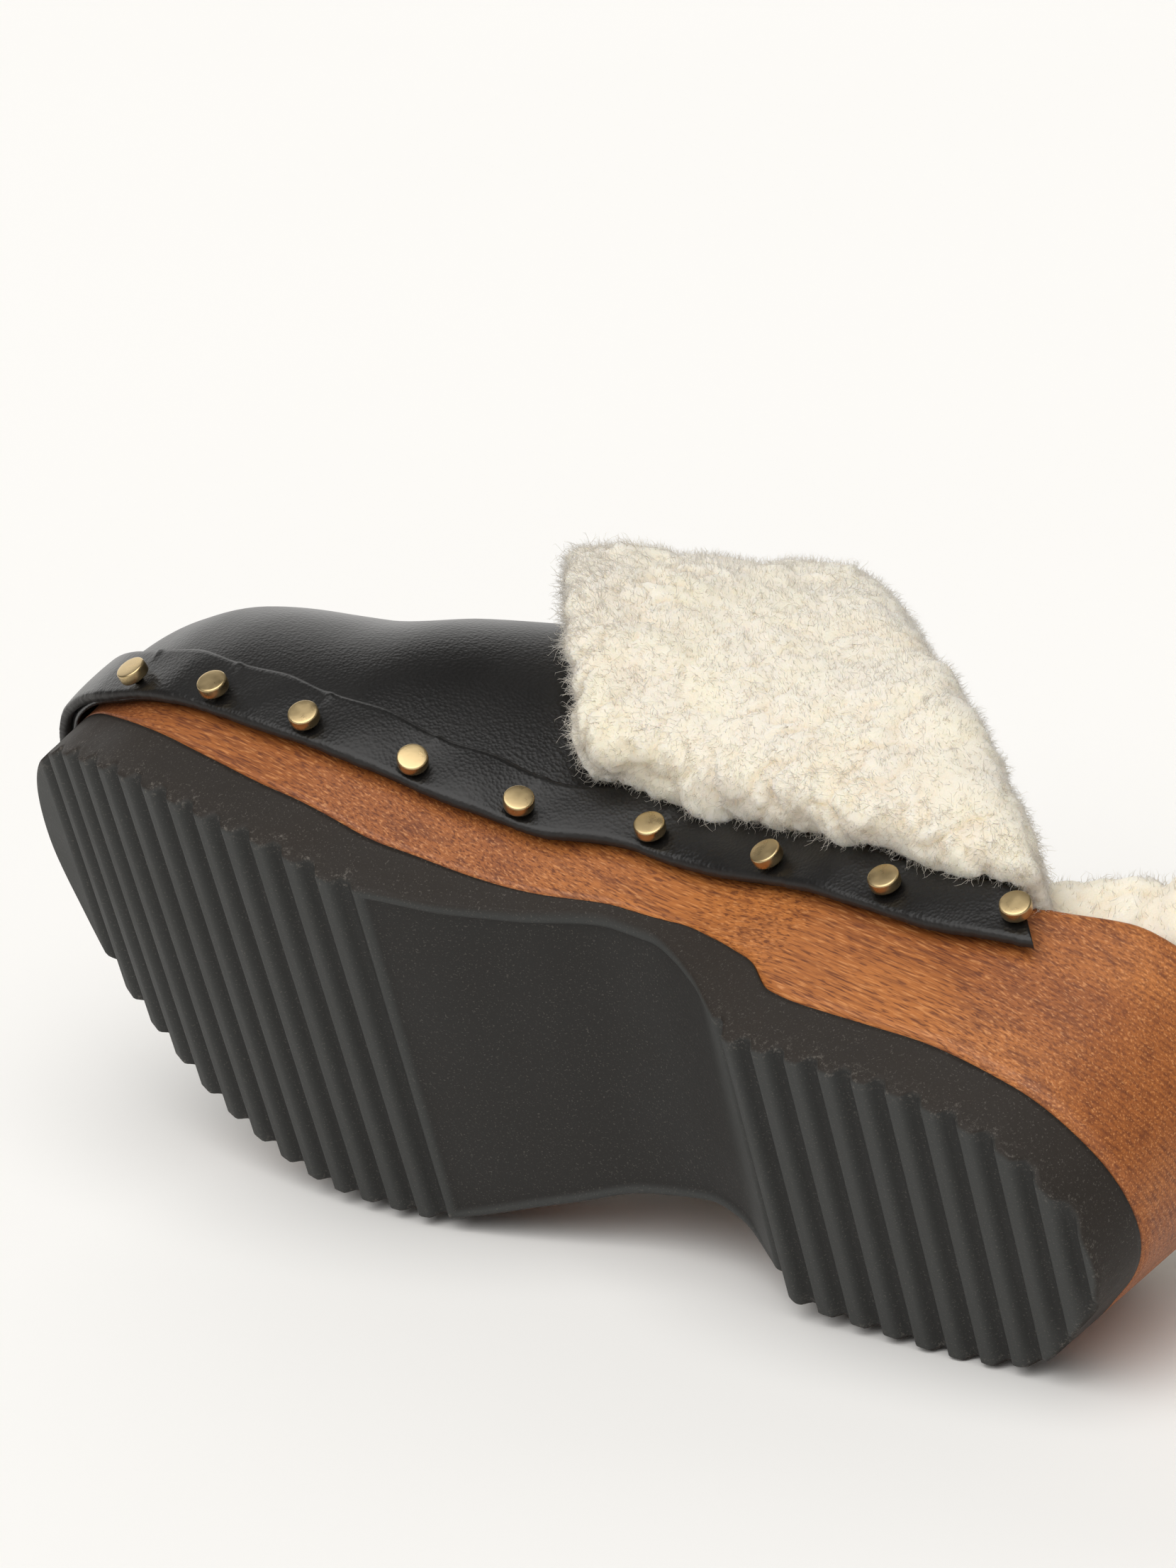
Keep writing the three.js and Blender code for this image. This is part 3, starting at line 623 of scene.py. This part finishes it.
def make_outsole():
    edge_round, step, across, levels = 0.5, 0.45, 110, 12
    end_turn, end_steps = 0.09, 24
    widest_inset, even_share, crowded_share = 0.4, 0.6, 0.4
    even = np.arange(0, tread_length, step)
    ends = tread_length * station_of(np.linspace(0, end_turn, end_steps))
    x = np.unique(np.round(np.concatenate([even, ends, tread_length - ends]), 4))
    station = x / tread_length
    turn = turn_of(station)
    inner, outer = inner_side(turn), outer_side(turn)
    inset = np.minimum(edge_round, (outer - inner) * widest_inset)
    line = np.linspace(0, 1, across)
    v = even_share * line + crowded_share * station_of(line)
    y = (inner + inset)[:, None] + v * (outer - inner - 2 * inset)[:, None]
    bottom_x = edge_round + x * (1 - 2 * edge_round / tread_length)

    # The tread: an arch with an inner lift, the grooves cut square to it, and the sunk panel.
    panel_step, panel_slope_out, panel_slope_in = 0.9, 0.6, 0.2
    rise = inner_arch_lift * inner_lift_share(station)
    slope = np.gradient(tread_height(station), x)
    length = np.hypot(1, slope)
    cut = groove_at(x)
    to_edge = np.minimum(v, 1 - v) * (outer - inner)[:, None]
    panel = smoothstep(x, panel_front, panel_front + panel_step)
    panel = panel * (1 - smoothstep(x, panel_fade, panel_back))
    panel = panel[:, None] * smoothstep(
        to_edge, panel_margin - panel_slope_out, panel_margin + panel_slope_in
    )
    height = (tread_height(station) + cut / length)[:, None] + rise[:, None] * (1 - v)
    height = height + panel_recess * panel
    tread = stacked((bottom_x - slope / length * cut)[:, None], y, height)

    # Fibres stick to the ribs' cut ends, on the tread and a little way up the walls.
    past_ribs, fray_full, tread_fray, wall_fray = 3, 0.4, 2.2, 3.6
    at_fore_ribs = x < fore_ribs_end * tread_length + past_ribs
    at_heel_ribs = x > heel_ribs_start * tread_length - past_ribs
    ribbed = (at_fore_ribs | at_heel_ribs)[:, None]
    fray = ribbed * (1 - smoothstep(to_edge, fray_full, tread_fray))

    # The walls run round from the inner toe to the heel, and back along the outer side.
    wall_start, roughness_size, roughness = 0.8, 2.0, 0.06
    laps = np.concatenate([turn, 2 - turn[::-1][1:-1]])
    top = rubber_top(station_at(laps))
    lowest = np.concatenate([height[:, 0], height[::-1, -1][1:-1]]) + edge_round * wall_start
    share = np.linspace(0, 1, levels)[:, None]
    walls = wall_point(laps, lowest + (top - lowest) * share)
    rough = noise(walls.reshape(-1, 3), roughness_size, seed=5).reshape(walls.shape[:2])
    nx, ny = plan_normal(laps)
    walls[1:-1] += stacked(nx, ny, 0)[None] * (roughness * rough[1:-1])[..., None]
    near_ribs = np.concatenate([ribbed[:, 0], ribbed[::-1, 0][1:-1]])
    up_fray = near_ribs * (1 - smoothstep((share * (top - lowest)), fray_full, wall_fray))

    # One closed skin: the tread, the walls, the strip that joins them, and the top.
    columns, rows = len(laps), np.arange(len(x))
    points = np.concatenate([tread.reshape(-1, 3), walls.reshape(-1, 3)])
    start = len(x) * across
    faces = [
        grid_faces(len(x), across),
        grid_faces(levels, columns, wrap_columns=True, start=start),
    ]
    border = np.concatenate([rows * across, (rows[::-1][1:-1] + 1) * across - 1])
    ring = start + np.arange(columns)
    faces.append(np.stack([border, np.roll(border, -1), np.roll(ring, -1), ring], -1))
    last = start + (levels - 1) * columns
    inner_top = last + rows
    outer_top = last + np.concatenate([[0], columns - rows[1:-1], [len(x) - 1]])
    faces.append(np.stack([inner_top[:-1], inner_top[1:], outer_top[1:], outer_top[:-1]], -1))
    corners = [tuple(dict.fromkeys(face)) for face in np.concatenate(faces)]
    on_walls = walls.size // 3
    attributes = {
        "panel": np.concatenate([panel.ravel(), np.zeros(on_walls)]),
        "flank": np.concatenate([np.zeros(start), np.ones(on_walls)]),
        "fray": np.concatenate([fray.ravel(), up_fray.ravel()]),
        # valley darkens the grooves in the rubber's colour: painted shade.
        "valley": np.concatenate([np.repeat(cut / groove_depth, across), np.zeros(on_walls)]),
    }
    whole = [face for face in corners if len(face) > 2]
    mesh = make_mesh("outsole_tread", points, whole, attributes)
    return finish_piece(link_mesh("outsole_tread", mesh, rubber), ["outsole"])


# ------------------------------------------------------------------ wooden sole


def make_wooden_sole():
    side, wall_levels, round_levels, bowl_levels = 260, 14, 6, 8
    laps = np.arange(2 * side) / side
    station = station_at(laps)
    low, rim = rubber_top(station) + gap, rim_height(station)
    wall = rim - rim_round - low
    rings = [wall_point(laps, low + wall * t) for t in np.linspace(0, 1, wall_levels)]
    for angle in np.linspace(0, np.pi / 2, round_levels)[1:]:
        height = rim - rim_round * (1 - math.sin(angle))
        rings.append(wall_point(laps, height, -rim_land * (1 - math.cos(angle))))
    for t in np.linspace(0, 1, bowl_levels)[1:]:
        depth = footbed_hollow * t
        rings.append(wall_point(laps, rim - depth, -(rim_land + (hollow_inset - rim_land) * t)))
    points = np.concatenate(rings)
    count = 2 * side
    faces = [tuple(map(int, f)) for f in grid_faces(len(rings), count, wrap_columns=True)]
    for start in (0, (len(rings) - 1) * count):
        for k in range(side):
            corners = (start + k, start + k + 1, start + count - k - 1, start + (count - k) % count)
            faces.append(tuple(dict.fromkeys(corners)))
    mesh = make_mesh("carved_sole", points, faces)
    return finish_piece(link_mesh("carved_sole", mesh, wood), ["wooden_sole"])


# ------------------------------------------------------------------ leather upper


def mouth_plane():
    """The plane that cuts the upper's mouth, and the side behind it."""
    throat = np.array([throat_station * tread_length, 0, instep_height])
    tail = np.array([tail_station * tread_length, 0, float(rim_height(tail_station))])
    along = (tail - throat) / np.linalg.norm(tail - throat)
    away = np.array([-along[2], 0, along[0]])
    return throat, away


def tail_plane(margin=0.0):
    point = np.array([tail_station * tread_length - margin, 0, float(nail_line(tail_station))])
    return point, np.array([1, 0, rand_slant]) / math.hypot(1, rand_slant)


upper_end = float(turn_of(tail_station + tail_margin))


def make_vamp():
    columns, rows, skirt_rows = 281, 72, 7
    laps = np.linspace(-upper_end, upper_end, columns)[:, None]
    station = station_at(laps)
    low, rim = nail_line(station) - skirt_below, rim_height(station)
    steps = np.linspace(0, 1, skirt_rows + 1)[None, :-1]
    skirt = wall_point(laps, low + (rim - low) * steps, gap + vamp_thickness)
    upper = upper_point(laps, np.linspace(0, 1, rows)[None], 0)
    points = np.concatenate([skirt, upper], axis=1)
    faces = grid_faces(*points.shape[:2])
    cuts = [mouth_plane(), tail_plane(tail_inset)]
    mesh = make_mesh(
        "vamp_leather", points.reshape(-1, 3), faces, cuts=cuts, thickness=vamp_thickness
    )
    return finish_piece(link_mesh("vamp_leather", mesh, leather), ["vamp"])


def nail_laps():
    turns = [float(turn_of(station)) for station in nail_stations]
    return turns + [2 - turn for turn in turns] + [0.0]


def make_rand():
    """The strip under the nails: pinched at each one, fuller between them, with a raw cut edge."""
    columns, face_rows, back_rows = 900, 18, 8
    held, loose = 1.5, 11  # from a nail: how far it holds the strip, and where the strip is full
    laps = np.linspace(-upper_end, upper_end, columns)
    station = station_at(laps)
    middle = nail_line(station)
    line = wall_point(laps, middle)
    pieces = np.linalg.norm(np.diff(line, axis=0), axis=1)
    run = np.concatenate([[0], np.cumsum(pieces)])
    nails = np.sort([np.interp(lap if lap < 1 else lap - 2, laps, run) for lap in nail_laps()])
    nearest = np.min(np.abs(run[:, None] - nails), axis=1)
    fullness = smoothstep(nearest, held, loose)

    # The two edges: slow waves, a ragged cut below, and a drop at each nail above.
    slow, quick, ragged = 0.35, 0.1, 0.09
    wave_below, sag, rise_between, drop_at_nails, wave_above = 0.6, 0.25, 0.9, 0.3, 0.2
    along = stacked(run, 0, 0)
    wobble = slow * noise(along, 11, seed=21) + quick * noise(along, 2.3, seed=22)
    rag = noise(along, 0.8, seed=23) * ragged
    below = towards_tail(rand_below, rand_below_tail, station)
    above = towards_tail(rand_above, rand_above_tail, station)
    low = middle - below + wave_below * wobble + rag
    low = low - sag * fullness
    high = middle + above
    high = high + rise_between * fullness - drop_at_nails + wave_above * wobble

    # The face: leans out upwards, buckles between nails, dimples at them, and thins at its edges.
    lean, bulge, bulge_shift, dimple_depth, pinch_rise, edge_thin = 0.25, 0.42, 0.8, 0.2, 0.3, 0.4
    pinch_width, pinch_from, pinch_full, dimple_spread, edge_from = 0.7, 4.0, 7.5, 14.0, 0.90
    t = np.linspace(0, 1, face_rows)
    height = low[:, None] + (high - low)[:, None] * t
    over = height - middle[:, None]
    pinch = np.exp(-((nearest[:, None] / pinch_width) ** 2))
    pinch = pinch * smoothstep(over, pinch_from, pinch_full)
    dimple = np.exp(-((nearest[:, None] ** 2 + over**2) / dimple_spread))
    buckle = fullness[:, None] * np.sin(np.pi * t**bulge_shift)
    edge = smoothstep(np.abs(2 * t - 1), edge_from, 1.0)
    out = gap + rand_thickness - lean * (1 - t) + bulge * buckle - dimple_depth * dimple
    out = out + pinch_rise * pinch - edge_thin * edge
    face = vamp_face(laps[:, None], height, out)

    at_edge, edge_raw = 0.02, 0.6
    down = np.linspace(at_edge, 1 - at_edge, back_rows)
    back_height = high[:, None] + (low - high)[:, None] * down
    back = vamp_face(laps[:, None], back_height, gap)
    points = np.concatenate([face, back], axis=1)
    rows = face_rows + back_rows
    raw = np.zeros((columns, rows))
    raw[:, [0, face_rows - 1]] = edge_raw
    raw[:, face_rows:] = 1
    faces = [tuple(map(int, f)) for f in grid_faces(columns, rows, wrap_columns=True)]
    faces += [tuple(range(rows)), tuple(range((columns - 1) * rows, columns * rows))]
    attributes = {"raw_edge": raw.ravel()}
    mesh = make_mesh("rand_strip", points.reshape(-1, 3), faces, attributes, [tail_plane()])
    return finish_piece(link_mesh("rand_strip", mesh, leather), ["rand"])


def make_nails():
    """Thick flat heads with a rounded edge and a faint ring, on their shanks."""
    sides, tilt_spread, corner_round = 48, 0.035, 0.35
    r, h = nail_head_radius, nail_head_height
    # The outline from the shank's point to the middle of the head, as radius and height.
    profile = [(0, -shank_length), (shank_radius, -shank_length + shank_point)]
    profile += [(shank_radius, -0.05), (r - corner_round, 0.0), (r - 0.08, 0.12), (r, 0.4)]
    profile += [(r + 0.03, h * 0.5), (r - 0.02, h - 0.45)]
    profile += [
        (r - corner_round + 0.33 * math.cos(a), h - corner_round + 0.35 * math.sin(a))
        for a in np.linspace(0.2, 1.5, 5)
    ]
    profile += [(r * 0.8, h + 0.03), (r * 0.55, h + 0.07), (r * 0.28, h + 0.09), (0, h + 0.1)]
    radii, heights = np.split(np.array(profile)[:, None], 2, axis=-1)
    angle = np.linspace(0, 2 * np.pi, sides, endpoint=False)
    ring = np.stack([np.cos(angle), np.sin(angle)], -1)
    level = np.broadcast_to(heights, (len(profile), sides, 1))
    local = np.concatenate([radii * ring, level], -1)
    faces = grid_faces(len(profile), sides, wrap_columns=True)
    seat = gap + vamp_thickness + gap + rand_thickness + nail_stand_off
    for i, lap in enumerate(nail_laps()):
        at = np.array([lap])
        station = station_at(at)
        place = wall_point(at, nail_line(station), seat)[0]
        nx, ny = plan_normal(at)
        lean = -float(flare_at(station)[0])
        direction = Vector((float(nx[0]), float(ny[0]), lean)).normalized()
        tilt = Vector(random.normal(0, tilt_spread, 3).tolist())
        turn = np.array((direction + tilt).to_track_quat("Z", "Y").to_matrix())
        points = local.reshape(-1, 3) @ turn.T + place
        name = f"brass_nail_{i + 1:02d}"
        mesh = make_mesh(name, points, faces)
        finish_piece(link_mesh(name, mesh, brass), [f"nail_{i + 1:02d}"])


# ------------------------------------------------------------------ shearling


def relaxed(points, edges, rounds):
    """Rounds a mesh off by moving each point halfway to the middle of its neighbours."""
    amount = 0.5
    a, b = edges.T
    count = np.bincount(np.concatenate([a, b]), minlength=len(points)).clip(1)[:, None]
    for _ in range(rounds):
        total = np.stack([
            np.bincount(a, points[b, k], len(points)) + np.bincount(b, points[a, k], len(points))
            for k in range(3)
        ], -1)
        points = points + amount * (total / count - points)
    return points


def tree_of(points):
    tree = kdtree.KDTree(len(points))
    for i, point in enumerate(points.tolist()):
        tree.insert(point, i)
    tree.balance()
    return tree


def distance_to(tree, points):
    return np.array([tree.find(point)[2] for point in points.tolist()])


def wool_body(name, node, voxel, rounds, backing, clump, tall, flow_at, inset=0.0):
    """A shearling solid: the node's shape, rounded off, with tufts that grow along flow_at(points).
    It stays flat within reach of its backing. Also gives what its loose fibres need."""
    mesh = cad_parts[node].data.copy()
    holder = bpy.data.objects.new("holder", mesh)
    bpy.context.scene.collection.objects.link(holder)
    remesh = holder.modifiers.new("even", "REMESH")
    remesh.mode = "VOXEL"
    remesh.voxel_size = voxel * MM
    mesh = applied(holder)
    bpy.data.objects.remove(holder)
    edges = np.empty(len(mesh.edges) * 2, np.int32)
    mesh.edges.foreach_get("vertices", edges)
    held, loose = 0.9, 3.0  # from the backing
    points = relaxed(points_of(mesh), edges.reshape(-1, 2), rounds)
    put_points(mesh, points)
    normals = normals_of(mesh)
    free = smoothstep(distance_to(backing, points), held, loose)

    # Tufts: each point belongs to the nearest of many centres, through a warped space.
    wide_warp, fine_warp, crease_width = 4.0, 1.6, 1.2
    area = sum(face.area for face in mesh.polygons) / MM**2
    warped = points + wide_warp * noise_vector(points, 7, seed=31)
    warped = warped + fine_warp * noise_vector(points, 2.6, seed=41)
    centres = warped[random.choice(len(points), int(area / clump**2), replace=False)]
    tree = tree_of(centres)
    two = [tree.find_n(point, 2) for point in warped.tolist()]
    first = np.array([pair[0][2] for pair in two])
    second = np.array([pair[1][2] for pair in two])
    owner = np.array([pair[0][1] for pair in two])
    dome = np.clip(1 - (first / clump) ** 2, 0, 1)
    parted = smoothstep(noise(points, 13, seed=55), -0.15, 0.5)
    crease = np.exp(-(((second - first) / crease_width) ** 2)) * parted
    lowest_tuft, tuft_range = 0.6, 0.8
    vary = lowest_tuft + tuft_range * random.random(len(centres))[owner]

    # What the wool grows by, in millimetres, and which way.
    swell_height, crease_depth, curl_height, frizz_height, bend = 0.8, 0.45, 0.30, 0.26, 0.4
    curls, frizz = noise(warped, 2.6, seed=51), noise(points, 1.3, seed=52)
    fine = curl_height * curls + frizz_height * frizz
    swell = swell_height * noise(points, 16, seed=56)
    grow = swell + tall * (dome * vary) - crease_depth * crease + fine
    flow, reach, droop = flow_at(points)
    growth = normals + flow
    growth /= np.linalg.norm(growth, axis=1)[:, None].clip(1e-6)
    bent = growth + bend * noise_vector(points, 9, seed=61)
    moved = points + (droop - inset * normals) * free[:, None]
    put_points(mesh, moved + bent * (free * grow * reach)[:, None])
    # Painted shade: the creases and the dips between curls are darkened through the depth
    # attribute.
    crease_shade, dip_shade = 0.55, 0.6
    depth = (crease_shade * crease + dip_shade * np.clip(-fine, 0, 1)) * free
    put_attribute(mesh, "depth", depth)
    piece = link_mesh(name, mesh, wool)
    finish_piece(piece, [node])
    return piece, growth, free, owner


def wool_fibres(
    name, body, growth, free, owner, count, length, stations=(0.0, 0.5), wanted=None
):
    """Loose fibres, each a thin closed tube that leans with its tuft and curls towards its tip."""
    least_free, tuft_scatter, fibre_scatter = 0.3, 0.42, 0.4
    fibre_radius, taper, sunk = 0.055, 0.5, 0.8
    shortest, longest, straightest, curliest = 0.5, 1.3, 0.15, 0.6
    points = points_of(body.data)
    weight = np.where(free > least_free, 1.0, 0.0) * (1 if wanted is None else wanted(points))
    roots = random.choice(len(points), count, p=weight / weight.sum())
    tuft_lean = random.normal(0, tuft_scatter, (owner.max() + 1, 3))
    fibre_lean = random.normal(0, fibre_scatter, (count, 3))
    heading = growth[roots] + tuft_lean[owner[roots]] + fibre_lean
    heading /= np.linalg.norm(heading, axis=1)[:, None]
    long = length * random.uniform(shortest, longest, count)
    curl = np.cross(heading, random.normal(0, 1, (count, 3)))
    curl /= np.linalg.norm(curl, axis=1)[:, None].clip(1e-6)
    side = np.cross(heading, curl)
    swing = random.uniform(straightest, curliest, count)

    def along(t):
        bow_turn, twist_turn, twist_share, drawn_in = 2.6, 5.0, 0.3, 0.25
        bow = (long * swing * np.sin(bow_turn * t) * t)[:, None] * curl
        twist = (long * twist_share * swing * np.sin(twist_turn * t))[:, None] * side
        straight = heading * (long * t * (1 - drawn_in * t))[:, None]
        return points[roots] - sunk * heading + straight + bow + twist

    rings = []
    for t in stations:
        radius = fibre_radius * (1 - taper * t)
        for angle in (0, 2 * math.pi / 3, 4 * math.pi / 3):
            rings.append(along(t) + radius * (math.cos(angle) * curl + math.sin(angle) * side))
    rings.append(along(1.0))
    verts = np.stack(rings, 1)
    per, last = verts.shape[1], 3 * (len(stations) - 1)
    one = [(2, 1, 0)] + [(last + k, last + (k + 1) % 3, per - 1) for k in range(3)]
    for s in range(0, last, 3):
        one += [(s + k, s + (k + 1) % 3, s + 3 + (k + 1) % 3, s + 3 + k) for k in range(3)]
    faces = [tuple(i * per + j for j in face) for i in range(count) for face in one]
    made = bpy.data.meshes.new(name)
    made.from_pydata((verts.reshape(-1, 3) * MM).tolist(), [], faces)
    piece = link_mesh(name, made, wool)
    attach(piece, BODY)
    return piece


def cuff_edges(points):
    """How near each point is to the cuff's front edge and to its lower edge."""
    front_low, front_high, low_height = 0.49, 0.31, 45
    front_reach, lower_reach, edge_start = 20, 14, 2
    x, z = points[:, 0] - shift[0], points[:, 2]
    station = np.clip(x / tread_length, 0, 1)
    lower = nail_line(station) + rand_above
    ends = [front_low * tread_length, front_high * tread_length]
    front = np.interp(z, [low_height, instep_height], ends)
    at_front = 1 - smoothstep(x - front, edge_start, front_reach)
    return at_front, 1 - smoothstep(z - lower, edge_start, lower_reach)


def cuff_flow(points):
    """The cuff's wool leans towards the toe at its front edge, and down at its lower edge.
    Its front top corner is drawn back and down."""
    lean, hang, tuft_reach, droop, pulled_back = 1.1, 0.15, 0.9, 2.2, 2.8
    corner_below, corner_above, longer_in_front, longer_at_foot = 14, 6, 0.25, 0.3
    at_front, at_foot = cuff_edges(points)
    flow = stacked(-lean * at_front, 0 * at_front, -lean * at_foot - hang)
    tufts = tuft_reach * at_front * np.clip(noise(points, 3.2, seed=71), 0, 1)
    corner = at_front * smoothstep(
        points[:, 2], instep_height - corner_below, instep_height + corner_above
    )
    moved = stacked(pulled_back * corner, 0 * corner, -droop * at_foot - droop * corner)
    return flow, 1 + longer_in_front * at_front + longer_at_foot * at_foot + tufts, moved


def at_cuff_edges(points):
    """Where the long wisps grow: mostly at the edges, with a few over the rest."""
    elsewhere = 0.02
    return np.maximum(*cuff_edges(points)) ** 2 + elsewhere


def footbed_flow(points):
    """Round the heel the wool swells up and over the rim."""
    swell_from, swell_full, bow_height, bow_back, bow_up = 0.74, 0.9, 7, 2.5, 5.0
    rise, rise_behind, out, reach, reach_behind = 0.35, 0.25, 0.35, 0.6, 0.8
    behind = smoothstep(
        points[:, 0] - shift[0], swell_from * tread_length, swell_full * tread_length
    )
    flow = stacked(out * behind, 0 * behind, rise + rise_behind * behind)
    over_rim = points[:, 2] - rim_height(swell_full) - 1
    bowed = behind * np.clip(over_rim, 0, bow_height) / bow_height
    droop = stacked(bow_back * bowed, -bow_back * bowed, bow_up * bowed)
    return flow, reach + reach_behind * behind, droop


def still(points):
    """Wool that only puffs out a little."""
    return np.zeros_like(points), np.full(len(points), 0.5), np.zeros_like(points)


# ------------------------------------------------------------------ the clog

make_outsole()
make_wooden_sole()
vamp = make_vamp()
make_rand()
make_nails()

leather_tree = tree_of(points_of(vamp.data)[::2])
wood_tree = tree_of(points_of(bpy.data.objects["carved_sole"].data)[::2])

cuff = wool_body(
    "cuff_shearling", "cuff_fleece", voxel=0.8, rounds=110, backing=leather_tree,
    clump=8.0, tall=1.1, flow_at=cuff_flow, inset=-0.3,
)
for letter in "abcd":
    wool_fibres(f"cuff_fibres_{letter}", *cuff, count=19500, length=2.9)
wool_fibres(
    "cuff_wisps", *cuff, count=9000, length=4.4, stations=(0.0, 0.3, 0.55, 0.8),
    wanted=at_cuff_edges,
)
bed = wool_body(
    "footbed_shearling", "footbed_fleece", voxel=1.0, rounds=20, backing=wood_tree,
    clump=7.0, tall=1.3, flow_at=footbed_flow,
)
for letter in "ab":
    wool_fibres(f"footbed_fibres_{letter}", *bed, count=19500, length=3.4)
wool_body(
    "lining_shearling", "lining_fleece", voxel=1.0, rounds=3, backing=leather_tree,
    clump=7.0, tall=0.8, flow_at=still,
)
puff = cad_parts["toe_puff"]
puff.data.materials.clear()
puff.data.materials.append(felt)

# ------------------------------------------------------------------ stage, light and camera

# The clog lies on its outer side on a pale floor.
floor_up = Vector((-0.093, -0.936, 0.340)).normalized()
leans_on = [bpy.data.objects[name] for name in ("outsole_tread", "carved_sole", "rand_strip")]
lowest = min(floor_up.dot(v.co) for o in leans_on for v in o.data.vertices)


def make_floor():
    size, clearance = 4.0, 0.0003
    mesh = bpy.data.meshes.new("floor")
    across = floor_up.orthogonal().normalized()
    along = floor_up.cross(across)
    middle = floor_up * (lowest - clearance)
    signs = ((-1, -1), (1, -1), (1, 1), (-1, 1))
    corners = [middle + size * (a * across + b * along) for a, b in signs]
    mesh.from_pydata([tuple(c) for c in corners], [], [(0, 1, 2, 3)])
    look = Look("floor_paper", Roughness=0.9, Specular_IOR_Level=0.1)
    duller, brighter = (0.92, 0.910, 0.892, 1), (0.935, 0.927, 0.910, 1)
    look.set("Base Color", look.mix(look.noise(3, 2), duller, brighter))
    # Its back is clear, so that the clog shows in the views from under the floor.
    links = look.tree.links
    clear = look.tree.nodes.new("ShaderNodeBsdfTransparent")
    mixer = look.tree.nodes.new("ShaderNodeMixShader")
    links.new(look.node("NewGeometry", "Backfacing"), mixer.inputs[0])
    links.new(look.shader.outputs[0], mixer.inputs[1])
    links.new(clear.outputs[0], mixer.inputs[2])
    links.new(mixer.outputs[0], look.tree.nodes["Material Output"].inputs["Surface"])
    floor = link_mesh("floor", mesh, look.material)


make_floor()

world = bpy.data.worlds.new("studio")
bpy.context.scene.world = world
world.use_nodes = True
background = world.node_tree.nodes["Background"]
background.inputs["Color"].default_value = (1.0, 0.985, 0.955, 1)
background.inputs["Strength"].default_value = 0.17

# The camera looks up at the sole from the inner side, with the clog's toe to the left.
camera_target = Vector((0.00486, -0.04959, 0.03375))
camera_distance = 1.15
camera_azimuth, camera_elevation = math.radians(43.41), math.radians(-34.33)
camera_roll = math.radians(44.01)
sensor, lens = 36.0, 147.4  # millimetres

back = Vector((
    math.sin(camera_azimuth) * math.cos(camera_elevation),
    -math.cos(camera_azimuth) * math.cos(camera_elevation),
    math.sin(camera_elevation),
))
level_up = (Vector((0, 0, 1)) - back * back.z).normalized()
level_right = level_up.cross(back)
screen_up = math.cos(camera_roll) * level_up - math.sin(camera_roll) * level_right
screen_right = screen_up.cross(back)

camera_data = bpy.data.cameras.new("camera")
camera_data.sensor_width = sensor
camera_data.lens = lens
camera = bpy.data.objects.new("camera", camera_data)
camera.matrix_world = Matrix.Translation(camera_target + back * camera_distance) @ Matrix(
    (screen_right, screen_up, back)
).transposed().to_4x4()
bpy.context.scene.collection.objects.link(camera)
bpy.context.scene.camera = camera


def soft_light(name, towards, softness, strength, colour):
    """A light as soft as a large panel, and as even over the floor as a distant one. It comes
    from the direction given, and its softness is the angle that it fills."""
    data = bpy.data.lights.new(name, "SUN")
    data.angle = math.radians(softness)
    data.energy = strength
    data.color = colour
    light = bpy.data.objects.new(name, data)
    light.rotation_mode = "QUATERNION"
    light.rotation_quaternion = towards.to_track_quat("Z", "Y")
    bpy.context.scene.collection.objects.link(light)


key_from = floor_up + back * 0.75 - screen_right * 0.4
rim_from = floor_up * 0.6 - back - screen_right * 0.2
fill_from = floor_up * 0.45 + back
soft_light("key", key_from, softness=70, strength=2.6, colour=(1, 0.99, 0.975))
soft_light("rim", rim_from, softness=60, strength=1.0, colour=(1, 0.99, 0.97))
soft_light("fill", fill_from, softness=70, strength=0.5, colour=(1, 0.99, 0.975))

# Without this, Blender's default view turns the pale floor grey.
bpy.context.scene.view_settings.view_transform = "Standard"
